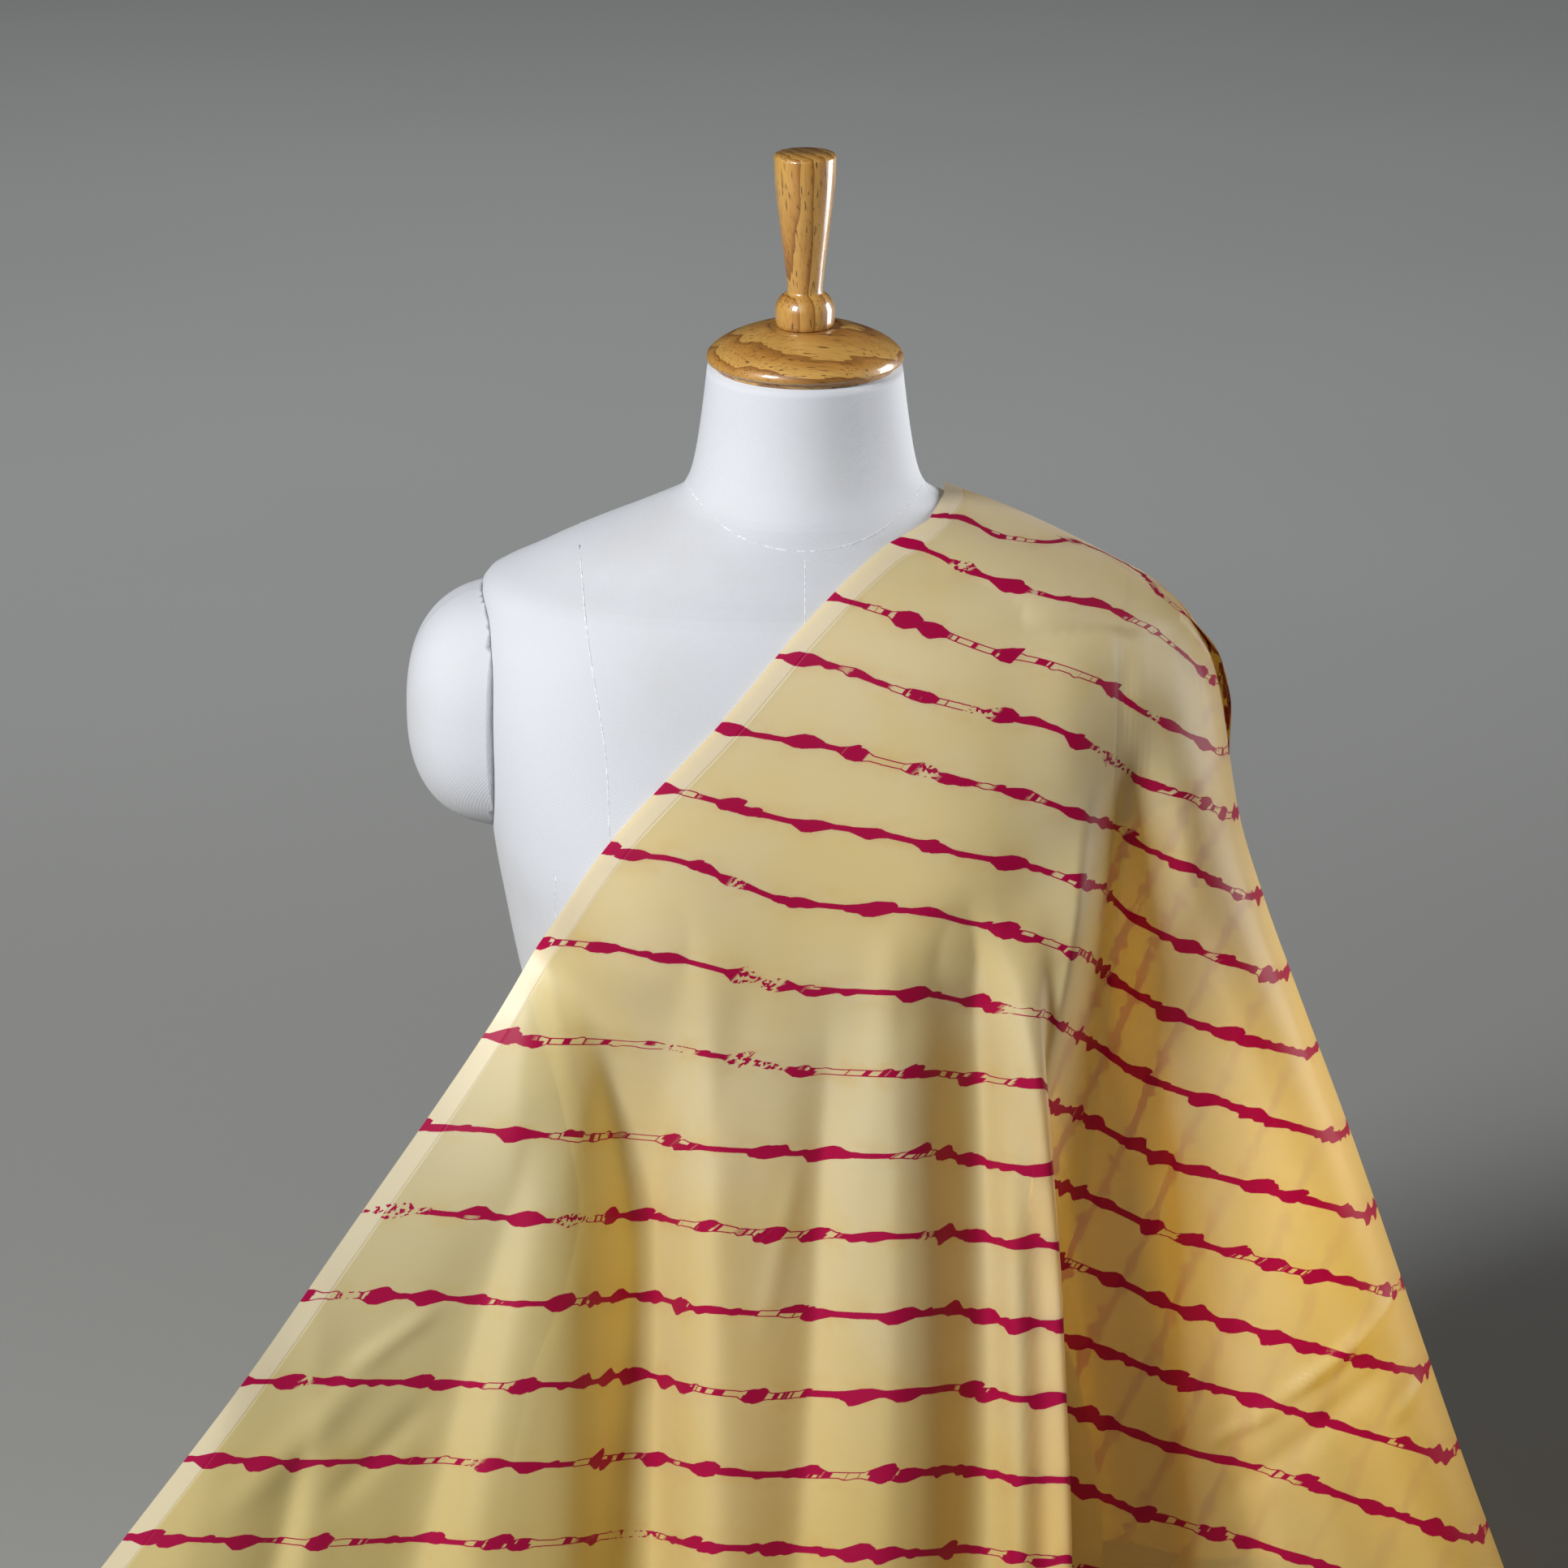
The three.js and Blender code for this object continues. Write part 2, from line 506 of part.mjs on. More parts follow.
const canvas = () => new THREE.MeshStandardMaterial({ color: 0xe6e6e4, roughness: 0.9, metalness: 0 });
const turnedWood = () => new THREE.MeshStandardMaterial({ color: 0xb5833d, roughness: 0.25, metalness: 0 });
const boardWood = () => new THREE.MeshStandardMaterial({ color: 0xc9b48c, roughness: 0.7, metalness: 0 });
const dyedSilk = () => new THREE.MeshStandardMaterial({ color: 0xd9c48a, roughness: 0.55, metalness: 0 });

function piece(name, geometry, material) {
  const mesh = new THREE.Mesh(geometry, material);
  mesh.name = name;
  return mesh;
}

const model = new THREE.Group();
model.add(
  piece('torso', torso(), canvas()),
  piece('arm_pad_right', armPad(-1), canvas()),
  piece('arm_pad_left', armPad(1), canvas()),
  piece('neck_cap', turned(CAP_PROFILE, NECK_TOP + TOUCH), turnedWood()),
  piece('finial', turned(FINIAL_PROFILE, NECK_TOP + TOUCH + CAP_PROFILE.at(-1).z + TOUCH), turnedWood()),
  piece('base_board', baseBoard(), boardWood()),
  piece('cloth', cloth(), dyedSilk()),
);

export default model;
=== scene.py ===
# %% [markdown]
# # A leheriya tie-dye cloth on a dress form
# This script dresses a measured frame. The frame already holds every solid at its true size: the canvas
# body and its arm pads, the turned wood on the neck, the base board and the cloth. Here each of them gets
# its real surface: woven canvas with its seams, oiled wood with its grain, and one thin sheet of sheer
# dyed silk. The frame is loaded first.

import json
import math

import bmesh
import bpy
import numpy as np
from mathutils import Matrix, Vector

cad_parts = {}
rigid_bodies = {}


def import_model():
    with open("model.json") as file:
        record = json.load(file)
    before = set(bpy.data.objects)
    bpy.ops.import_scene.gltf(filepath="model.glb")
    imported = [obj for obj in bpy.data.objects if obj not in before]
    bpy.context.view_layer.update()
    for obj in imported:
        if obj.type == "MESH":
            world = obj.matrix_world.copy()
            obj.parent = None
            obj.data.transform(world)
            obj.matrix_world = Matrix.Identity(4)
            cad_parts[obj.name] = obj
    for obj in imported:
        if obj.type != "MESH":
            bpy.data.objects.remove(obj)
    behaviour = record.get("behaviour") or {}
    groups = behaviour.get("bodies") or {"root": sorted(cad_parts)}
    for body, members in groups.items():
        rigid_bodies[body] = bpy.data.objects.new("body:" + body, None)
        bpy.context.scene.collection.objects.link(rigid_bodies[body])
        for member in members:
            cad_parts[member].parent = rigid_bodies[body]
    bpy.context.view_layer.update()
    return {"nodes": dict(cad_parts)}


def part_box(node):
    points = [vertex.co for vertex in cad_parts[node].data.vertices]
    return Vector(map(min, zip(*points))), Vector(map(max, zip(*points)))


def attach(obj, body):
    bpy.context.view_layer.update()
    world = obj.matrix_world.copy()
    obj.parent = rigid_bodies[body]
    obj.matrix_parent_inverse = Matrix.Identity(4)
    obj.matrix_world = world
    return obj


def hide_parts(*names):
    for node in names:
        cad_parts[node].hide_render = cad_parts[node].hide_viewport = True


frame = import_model()
scene = bpy.context.scene
MM = 0.001
TINY = 1e-9
print("frame nodes:", sorted(frame["nodes"]))

# %% [markdown]
# ## Camera
# The form is seen from the front and a little above with a long lens, so that its sides stay nearly
# parallel. A camera is placed by the point it looks at, its distance and its downward tilt. That says
# more to a reader than three coordinates, and the three coordinates follow from it.

# %% Camera
LOOK = {"at": (-0.0109, 0.0, 0.5), "distance": 4.2, "down": 18.1, "lens": 182.0}


def place_camera(look):
    tilt = math.radians(look["down"])
    data = bpy.data.cameras.new("studio_camera")
    data.lens = look["lens"]
    camera = bpy.data.objects.new("studio_camera", data)
    back = Vector((0, -math.cos(tilt), math.sin(tilt))) * look["distance"]
    camera.location = Vector(look["at"]) + back
    camera.rotation_euler = (math.pi / 2 - tilt, 0, 0)
    scene.collection.objects.link(camera)
    return camera


scene.camera = place_camera(LOOK)
print("camera at", [round(v, 3) for v in scene.camera.location])

# %% [markdown]
# ## Small tools
# A sewn or turned thing is easiest to describe by a short table: a row for each height, and the sizes
# there. `table` gives every size in a row its name. `follow` draws a smooth line through such a table
# that never swings past its rows, so a measured size stays the size. `softer_of` joins two surfaces as
# cloth does, with a soft turn in place of a sharp corner.

# %% Tables, and curves through them
def table(columns, rows):
    names = columns.split()
    return [dict(zip(names, row)) for row in rows]


def follow(rows, column, by="z"):
    at = np.array([row[by] for row in rows], float)
    size = np.array([row[column] for row in rows], float)
    slope = np.diff(size) / np.diff(at)
    below, above = slope[:-1], slope[1:]
    turns = below * above <= 0
    total = np.where(turns, 1, below + above)
    tangent = np.concatenate(([slope[0]], np.where(turns, 0, 2 * below * above / total), [slope[-1]]))

    def curve(place):
        place = np.clip(place, at[0], at[-1])
        i = np.clip(np.searchsorted(at, place) - 1, 0, len(at) - 2)
        step = at[i + 1] - at[i]
        f = (place - at[i]) / step
        g = 1 - f
        value = (1 + 2 * f) * g * g * size[i] + (3 - 2 * f) * f * f * size[i + 1]
        return value + f * g * step * (g * tangent[i] - f * tangent[i + 1])

    return curve


def lerp(a, b, f):
    return a + (b - a) * f


def smooth(value):
    value = np.clip(value, 0, 1)
    return value * value * (3 - 2 * value)


def softer_of(a, b, width):
    return 0.5 * (a + b + np.hypot(a - b, width))


def squared(share, power):
    """A circle's cosine or sine, made into that of a circle that is squared off."""
    return np.sign(share) * np.abs(share) ** power


def full_turn(count):
    return np.linspace(0, 2 * math.pi, count, endpoint=False)


# %% Meshes
def new_piece(name, points, faces, finish):
    """A smooth mesh from points in millimetres, riding on the one body."""
    mesh = bpy.data.meshes.new(name)
    mesh.from_pydata((np.asarray(points) * MM).tolist(), [], faces)
    mesh.update()
    mesh.shade_smooth()
    piece = bpy.data.objects.new(name, mesh)
    scene.collection.objects.link(piece)
    mesh.materials.append(finish)
    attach(piece, "root")
    return piece


def skin(rings, looped=False):
    """Faces over equally long rings in their order. A looped row of rings comes back to its first one, and
    any other is closed by a flat face at both ends."""
    rows, count = len(rings), len(rings[0])
    faces = []
    for r in range(rows if looped else rows - 1):
        this, after = r * count, (r + 1) % rows * count
        for i in range(count):
            j = (i + 1) % count
            faces.append((this + i, this + j, after + j, after + i))
    if not looped:
        faces += [tuple(reversed(range(count))), tuple(range((rows - 1) * count, rows * count))]
    return faces


def level_ring(x, y, z):
    return np.stack([x, y, np.full_like(x, z)], -1)


def ring_piece(name, rings, finish):
    return new_piece(name, np.concatenate(rings), skin(rings), finish)


def keep_values(piece, **columns):
    """Numbers kept on a mesh's points, for its finish to read."""
    for name, values in columns.items():
        attribute = piece.data.attributes.new(name, "FLOAT", "POINT")
        attribute.data.foreach_set("value", np.asarray(values, np.float32).ravel())


# %% [markdown]
# ## Finishes
# A finish is a small net of shader nodes. `Net` keeps the writing short: `put` adds a node and wires it up
# in one go, and `pick` fades one colour into another. A `Value` is a number from such a node, and can be
# added and multiplied like any other. Sizes in a finish are in metres too.

# %% The net of nodes behind a finish
class Value:
    """A number that a finish works out at every place. Sums written with it become nodes."""

    def __init__(self, net, socket):
        self.net, self.socket = net, socket

    def __add__(self, other):
        return self.net.sums("ADD", self, other)

    def __sub__(self, other):
        return self.net.sums("SUBTRACT", self, other)

    def __rsub__(self, other):
        return self.net.sums("SUBTRACT", other, self)

    def __mul__(self, other):
        return self.net.sums("MULTIPLY", self, other)


class Net:
    def __init__(self, name):
        self.material = bpy.data.materials.new(name)
        self.material.use_nodes = True
        self.tree = self.material.node_tree
        self.tree.nodes.clear()

    def put(self, kind, inputs=None, **settings):
        made = self.tree.nodes.new("ShaderNode" + kind)
        for name, value in settings.items():
            setattr(made, name, value)
        for name, value in (inputs or {}).items():
            value = value.socket if isinstance(value, Value) else value
            if isinstance(value, bpy.types.NodeSocket):
                self.tree.links.new(value, made.inputs[name])
            else:
                made.inputs[name].default_value = value
        return made

    def number(self, kind, inputs, output=0, **settings):
        return Value(self, self.put(kind, inputs, **settings).outputs[output])

    def sums(self, operation, *values):
        return self.number("Math", dict(enumerate(values)), operation=operation)

    def between(self, value, low, high):
        """0 below low, 1 above high, and a smooth step between them."""
        sockets = {"Value": value, "From Min": low, "From Max": high}
        return self.number("MapRange", sockets, interpolation_type="SMOOTHSTEP")

    def pick(self, amount, first, second):
        """The first colour where the amount is 0, and the second where it is 1."""
        return self.put("Mix", {0: amount, 6: first, 7: second}, data_type="RGBA").outputs[2]

    def point_value(self, name):
        return self.number("Attribute", {}, "Fac", attribute_name=name)

    def place(self, stretch=(1, 1, 1), turn=(0, 0, 0), shift=(0, 0, 0)):
        """A place on the object, moved, turned (in degrees) and then stretched."""
        where = self.put("TexCoord").outputs["Object"]
        angles = [math.radians(v) for v in turn]
        turned = self.put("Mapping", {"Vector": where, "Location": shift, "Rotation": angles}).outputs[0]
        return self.put("Mapping", {"Vector": turned, "Scale": stretch}).outputs[0]

    def axes(self, place):
        return [Value(self, socket) for socket in self.put("SeparateXYZ", {0: place}).outputs]

    def along_line(self, place, row=0.0, third=0.0):
        return self.put("CombineXYZ", {"X": place, "Y": row, "Z": third}).outputs[0]

    def noise(self, vector, scale, detail=2.0, rough=0.5):
        sockets = {"Vector": vector, "Scale": scale, "Detail": detail, "Roughness": rough}
        return self.number("TexNoise", sockets, "Fac")

    def raised(self, height, deep, strength, **under):
        """The normal of a surface with a small relief, on top of the one given as Normal, if any."""
        sockets = {"Height": height, "Distance": deep, "Strength": strength, **under}
        return self.put("Bump", sockets).outputs["Normal"]

    def finish(self, shader):
        self.put("OutputMaterial", {"Surface": shader})
        return self.material


def colour(red, green, blue):
    """A colour from its everyday values of 0 to 255, as the linear numbers that a shader works in."""
    shares = [v / 255 for v in (red, green, blue)]
    linear = [s / 12.92 if s <= 0.04045 else ((s + 0.055) / 1.055) ** 2.4 for s in shares]
    return (*linear, 1.0)


# %% [markdown]
# ### Canvas
# The form is covered in stout white cotton canvas with a fine slanting weave. Up close the twill lines
# show, and from further off only a soft unevenness. The lines are made by two waves that cross, one along
# the slant and a finer one for the single threads, and they move the surface a few hundredths of a
# millimetre. Handling has left the canvas a little greyer in places, which a large soft noise gives.

# %% Canvas finish
TWILL = {"pitch": 1.15 * MM, "slant": 38.0, "thread": 0.62 * MM}


def slanting_lines(net, pitch, slant, across, up):
    angle = math.radians(slant)
    turns = up * (math.cos(angle) / pitch) - across * (math.sin(angle) / pitch)
    return net.sums("SINE", turns * (2 * math.pi))


def canvas_finish():
    net = Net("white_canvas")
    across, up = net.point_value("across"), net.point_value("up")
    twill = slanting_lines(net, TWILL["pitch"], TWILL["slant"], across, up)
    threads = slanting_lines(net, TWILL["thread"], TWILL["slant"] - 90, across, up)
    weave = twill + threads * 0.45
    where = net.place()
    slubs = net.noise(net.place(stretch=(1, 1, 6)), 260.0, 3.0, 0.6)
    height = weave + slubs * 1.6
    handled = net.between(net.noise(where, 9.0, 4.0, 0.6), 0.45, 0.75)
    clean, greyed = colour(201, 204, 210), colour(193, 193, 193)
    tone = net.pick(handled * 0.5, clean, greyed)
    # Painted shade: the lowest parts of the weave, its grooves, are painted a little darker.
    tone = net.pick(net.between(weave, -1.6, -0.6), net.pick(0.06, tone, colour(120, 120, 124)), tone)
    shader = net.put("BsdfPrincipled", {
        "Base Color": tone, "Roughness": 0.86, "Specular IOR Level": 0.25, "Sheen Weight": 0.15,
        "Sheen Roughness": 0.5, "Normal": net.raised(height, 0.05 * MM, 0.55),
    })
    return net.finish(shader.outputs[0])


CANVAS = canvas_finish()
print("finish:", CANVAS.name, len(CANVAS.node_tree.nodes), "nodes")

# %% [markdown]
# ### Seam thread
# The panels of canvas are joined by felled seams. From the front a seam is a thin grey line, with the
# tiny dents of its stitches. It is made as a fine cord half sunk in the canvas, so that it catches light
# and shade.

# %% Thread finish
def thread_finish():
    net = Net("seam_thread")
    stitches = net.noise(net.place(), 420.0, 1.0)
    tone = net.pick(net.between(stitches, 0.42, 0.62), colour(196, 197, 202), colour(224, 226, 231))
    shader = net.put("BsdfPrincipled", {"Base Color": tone, "Roughness": 0.9, "Specular IOR Level": 0.2})
    return net.finish(shader.outputs[0])


THREAD = thread_finish()

# %% [markdown]
# ### Turned wood
# The handle and the neck cap are turned from one honey-coloured hardwood, oiled and polished. Three
# things make wood look like wood: broad growth bands, which are shells around the heart of the tree, fine
# streaks along the grain, and dark pores as short dashes along it. Each is a noise or a wave stretched
# along the grain. A clear coat gives the crisp window of light, and the wood under it stays a little
# rough.

# %% Wood finish
def wood_finish(name, turn, shift, bands, light, middle, dark, coat):
    net = Net(name)
    along = (1.0, 1.0, 0.12)
    grain = net.place(stretch=along, turn=turn, shift=shift)
    rings = net.put("TexWave", {
        "Vector": grain, "Scale": bands, "Distortion": 4.5, "Detail": 3.0, "Detail Scale": 1.4,
        "Detail Roughness": 0.62,
    }, wave_type="RINGS", rings_direction="Z", wave_profile="SAW").outputs["Fac"]
    streaks = net.noise(net.place(stretch=(1, 1, 0.04), turn=turn), 900.0, 4.0, 0.65)
    pores = net.noise(net.place(stretch=(1, 1, 0.07), turn=turn), 1150.0, 1.0, 0.4)
    cloudy = net.noise(grain, 30.0, 2.0)
    tone = net.pick(net.between(rings, 0.1, 0.95), light, middle)
    tone = net.pick(net.between(rings, 0.72, 1.0) * 0.65, tone, dark)
    tone = net.pick(net.between(streaks, 0.45, 0.7) * 0.3, tone, dark)
    tone = net.pick(net.between(cloudy, 0.4, 0.75) * 0.35, tone, middle)
    open_pores = net.between(pores, 0.63, 0.7)
    tone = net.pick(open_pores * 0.8, tone, colour(62, 34, 12))
    height = streaks * 0.3 - open_pores
    shader = net.put("BsdfPrincipled", {
        "Base Color": tone, "Roughness": 0.42, "Coat Weight": coat, "Coat Roughness": 0.09,
        "Normal": net.raised(height, 0.05 * MM, 0.5),
    })
    return net.finish(shader.outputs[0])


HONEY = {"light": colour(196, 152, 78), "middle": colour(168, 116, 50), "dark": colour(104, 62, 22)}
HANDLE_WOOD = wood_finish("handle_wood", (3, 2, 0), (0.05, 0.09, 0), 46.0, coat=0.85, **HONEY)
CAP_WOOD = wood_finish("cap_wood", (0, 84, -30), (0.0, 0.05, -0.76), 36.0, coat=0.85, **HONEY)
PALE = {"light": colour(206, 182, 138), "middle": colour(190, 160, 112), "dark": colour(150, 118, 74)}
BOARD_WOOD = wood_finish("board_wood", (0, 90, 0), (0.0, 0.0, 0.3), 18.0, coat=0.0, **PALE)
print("wood finishes:", HANDLE_WOOD.name, CAP_WOOD.name, BOARD_WOOD.name)

# %% [markdown]
# ## The canvas body
# A dress form is papered and padded over a mould and then covered with canvas panels. Its shape is a
# stack of level sections: half width, depth in front, depth behind, and how square the corners are. The
# same table makes the frame's own solid, so this finer skin lies exactly on it. The bust is a soft
# swelling in front.

# %% Sections of the body, in millimetres
NECK_TOP = 729
BODY_SECTIONS = table("z half front back square", [
    (18.3, 158, 108, 112, 2.4),
    (70, 163, 112, 116, 2.4),
    (150, 151, 106, 104, 2.3),
    (210, 130, 98, 88, 2.2),
    (260, 121, 94, 80, 2.2),
    (320, 130, 101, 84, 2.25),
    (402, 151, 120, 96, 2.35),
    (440, 158, 127, 102, 2.5),
    (487, 165, 124, 106, 2.9),
    (550, 169, 113, 104, 3.3),
    (587, 170, 104, 96, 3),
    (613, 169, 94, 84, 2.3),
    (630.5, 140, 85, 74, 2),
    (641.5, 115, 79, 68, 2),
    (651.5, 89, 73, 62, 2),
    (662.5, 65, 67, 58, 2),
    (675, 59, 60, 56, 2),
    (700, 54.5, 53, 54, 2),
    (NECK_TOP, 51, 50, 52, 2),
])
BUST = {"x": 86, "z": 455, "wide": 46, "tall": 58, "proud": 8}
PAD = {"x": 150, "z": 546, "reach": 60, "deep": 61, "above": 65, "below": 64, "square": 2.5, "tuck": 20}
body_half = follow(BODY_SECTIONS, "half")
body_square = follow(BODY_SECTIONS, "square")
body_depth = {side: follow(BODY_SECTIONS, side) for side in ("front", "back")}


def bust_proud(x, z):
    away = ((np.abs(x) - BUST["x"]) / BUST["wide"]) ** 2 + ((z - BUST["z"]) / BUST["tall"]) ** 2
    return BUST["proud"] * np.exp(-away)


def body_out(x, z, side, grow=0.0):
    """How far the body's skin stands out in front or behind, when it is grown evenly."""
    n = body_square(z)
    round_off = np.maximum(0, 1 - (np.abs(x) / (body_half(z) + grow)) ** n) ** (1 / n)
    proud = bust_proud(x, z) if side == "front" else 0
    return (body_depth[side](z) + grow + proud) * round_off


def body_ring(z, count, grow=0.0):
    c, s = np.cos(full_turn(count)), np.sin(full_turn(count))
    power = 2 / body_square(z)
    x = (body_half(z) + grow) * squared(c, power)
    flat = np.abs(s) ** power
    front = -(body_depth["front"](z) + grow + bust_proud(x, z)) * flat
    return level_ring(x, np.where(s < 0, front, (body_depth["back"](z) + grow) * flat), z)


# %% Body skin
def canvas_piece(name, rings):
    """A mesh whose points keep how far round their ring they lie, and how far up, in metres, for the weave."""
    piece = ring_piece(name, rings, CANVAS)
    steps = np.linalg.norm(rings - np.roll(rings, 1, axis=1), axis=2)
    keep_values(piece, across=np.cumsum(steps, axis=1) * MM, up=np.asarray(rings)[:, :, 2] * MM)
    return piece


def canvas_body(around=288, levels=170):
    heights = [BODY_SECTIONS[0]["z"]]
    whole = NECK_TOP - heights[0]
    for low, high in zip(BODY_SECTIONS, BODY_SECTIONS[1:]):
        parts = max(3, round(levels * (high["z"] - low["z"]) / whole))
        heights += list(np.linspace(low["z"], high["z"], parts + 1)[1:])
    rings = [body_ring(z, around) for z in heights]
    piece = canvas_piece("canvas_body", rings)
    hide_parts("torso")
    return piece


body = canvas_body()
print("body:", len(body.data.polygons), "faces")

# %% [markdown]
# ## The arm pads
# Below each shoulder the form has a short rounded pad in place of an arm. It is a squared ball tucked
# into the armhole. The part inside the body is cut away with the body's own shape, grown by the small gap
# that pieces keep, so that the pad meets the body in a clean line.

# %% Arm pads
TOUCH = 0.3
ARMHOLE_CUT = {"from_z": 450, "to_z": 640, "levels": 60, "around": 192}


def pad_rings(side, rows=56, around=96):
    power = 2 / PAD["square"]
    rings = []
    for tilt in np.linspace(-math.pi / 2, math.pi / 2, rows + 1)[1:-1]:
        rise = squared(math.sin(tilt), power)
        waist = math.cos(tilt) ** power
        z = PAD["z"] + rise * (PAD["above"] if tilt > 0 else PAD["below"])
        c, s = np.cos(full_turn(around)), np.sin(full_turn(around))
        out = np.where(c > 0, PAD["reach"], PAD["tuck"]) * squared(c, power) * waist
        ring = level_ring(side * (PAD["x"] + out), PAD["deep"] * squared(s, power) * waist, z)
        rings.append(ring if side > 0 else ring[::-1])
    return rings


def arm_pad(name, side, stands_for):
    piece = canvas_piece(name, pad_rings(side))
    heights = np.linspace(ARMHOLE_CUT["from_z"], ARMHOLE_CUT["to_z"], ARMHOLE_CUT["levels"])
    levels = [body_ring(z, ARMHOLE_CUT["around"], TOUCH) for z in heights]
    knife = ring_piece(name + "_knife", levels, CANVAS)
    cut = piece.modifiers.new("armhole", "BOOLEAN")
    cut.operation = "DIFFERENCE"
    cut.solver = "EXACT"
    cut.object = knife
    bpy.context.view_layer.update()
    shaped = bpy.data.meshes.new_from_object(piece.evaluated_get(bpy.context.evaluated_depsgraph_get()))
    piece.modifiers.clear()
    piece.data = shaped
    bpy.data.objects.remove(knife)
    keep_largest_part(piece)
    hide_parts(stands_for)
    return piece


def keep_largest_part(piece):
    """The cut leaves a sliver on the far side of the body; only the largest part is the pad."""
    shape = bmesh.new()
    shape.from_mesh(piece.data)
    shape.verts.ensure_lookup_table()
    left, parts = set(range(len(shape.verts))), []
    while left:
        queue = [shape.verts[left.pop()]]
        part = set(queue)
        while queue:
            for edge in queue.pop().link_edges:
                for vert in edge.verts:
                    if vert.index in left:
                        left.discard(vert.index)
                        part.add(vert)
                        queue.append(vert)
        parts.append(part)
    largest = max(parts, key=len)
    bmesh.ops.delete(shape, geom=[v for v in shape.verts if v not in largest], context="VERTS")
    shape.to_mesh(piece.data)
    shape.free()
    piece.data.shade_smooth()


pads = [arm_pad("canvas_pad_right", -1, "arm_pad_right"), arm_pad("canvas_pad_left", 1, "arm_pad_left")]
print("pads:", [len(pad.data.polygons) for pad in pads], "faces")

# %% [markdown]
# ## Seams
# A seam is drawn as a list of places on the front (or back) of the body, a few rows each, and follows the
# body's surface between them. The cord for it is swept along that line. One joined mesh holds them all.

# %% Seam lines
SEAM = {"radius": 0.5, "sunk": 0.34, "sides": 6, "step": 4.0}
CENTRE = table("z x", [(18.3, 0), (330, 0), (650, 0)])
PRINCESS = table("z x", [
    (18.3, 88), (260, 64), (400, 82), (457, 97), (509, 101), (539, 102), (610, 113), (635, 117),
    (639, 118),
])
SIDE_FRONT = table("z x", [(18.3, 128), (260, 98), (400, 121), (470, 130), (486, 129)])
NECK_LINE = {"front": 650, "side": 667, "back": 668}
LOW_SEAM_Z = 30


def down_seam(rows, mirror, side):
    place = follow(rows, "x")
    z = np.arange(rows[0]["z"], rows[-1]["z"], SEAM["step"])
    x = mirror * place(z)
    out = body_out(x, z, side)
    return np.stack([x, -out if side == "front" else out, z], -1)


def neck_seam():
    turn = full_turn(160)
    low = np.where(np.sin(turn) < 0, NECK_LINE["front"], NECK_LINE["back"])
    z = lerp(NECK_LINE["side"], low, np.abs(np.sin(turn)) ** 3)
    points = []
    for angle, height in zip(turn, z):
        ring = body_ring(height, 720)
        bearing = np.arctan2(ring[:, 1], ring[:, 0])
        wanted = math.atan2(math.sin(angle), math.cos(angle))
        points.append(ring[np.argmin(np.abs(np.angle(np.exp(1j * (bearing - wanted)))))])
    return np.array(points)


def cord_rings(path, closed):
    """Rings for a cord along a path, a little sunk into what it lies on."""
    ahead = np.roll(path, -1, axis=0) - np.roll(path, 1, axis=0)
    if not closed:
        ahead[0] = path[1] - path[0]
        ahead[-1] = path[-1] - path[-2]
    ahead /= np.linalg.norm(ahead, axis=1, keepdims=True)
    outward = path * [1, 1, 0]
    outward -= ahead * np.sum(outward * ahead, axis=1, keepdims=True)
    outward /= np.maximum(TINY, np.linalg.norm(outward, axis=1, keepdims=True))
    aside = np.cross(ahead, outward)
    corners = []
    for k in range(SEAM["sides"]):
        turn = 2 * math.pi * k / SEAM["sides"]
        out, over = SEAM["radius"] * math.cos(turn) - SEAM["sunk"], SEAM["radius"] * math.sin(turn)
        corners.append(path + outward * out + aside * over)
    return np.stack(corners, 1)


def seam_threads():
    lines = [(neck_seam(), True), (body_ring(LOW_SEAM_Z, 200), True)]
    lines += [(down_seam(CENTRE, 1, side), False) for side in ("front", "back")]
    for mirror in (-1, 1):
        for side in ("front", "back"):
            lines += [(down_seam(seam, mirror, side), False) for seam in (PRINCESS, SIDE_FRONT)]
    points, faces, start = [], [], 0
    for path, closed in lines:
        rings = cord_rings(path, closed)
        points.append(rings.reshape(-1, 3))
        faces += [tuple(i + start for i in face) for face in skin(rings, closed)]
        start += len(points[-1])
    return new_piece("seam_threads", np.concatenate(points), faces, THREAD)


threads = seam_threads()
print("seams:", len(threads.data.polygons), "faces")

# %% [markdown]
# ## Turned cap, handle and base board
# A turner cuts a profile into a spinning blank, so each piece is one profile swept round an axis. The
# profile is a short list of radius and height pairs, rounded by running a smooth curve through its
# length.

# %% Turned pieces
CAP_PROFILE = [
    (47, 0), (47.5, 2.4), (50.6, 3.2), (51.5, 4.8), (51, 6.8), (47.5, 10.6), (41, 14.6), (33, 18),
    (25, 20.6), (19.5, 21.8), (18.2, 21.4), (17.2, 21.4),
]
FINIAL_PROFILE = [
    (14.6, 0), (15.3, 2), (15.6, 6.5), (15.5, 9.5), (14.3, 13.2), (12, 16.2), (9.6, 18), (9.2, 19.2),
    (9.5, 23), (16.3, 89.8), (15.5, 91.2),
]


def rounded(profile, per_step=5):
    """The profile with soft turns: more points along a curve through its rows."""
    points = np.array(profile, float)
    length = np.concatenate(([0], np.cumsum(np.linalg.norm(np.diff(points, axis=0), axis=1))))
    rows = [{"t": t, "r": r, "z": z} for t, (r, z) in zip(length, points)]
    steps = [np.linspace(a, b, per_step, endpoint=False) for a, b in zip(length, length[1:])]
    at = np.append(np.concatenate(steps), length[-1])
    return np.stack([follow(rows, "r", by="t")(at), follow(rows, "z", by="t")(at)], -1)


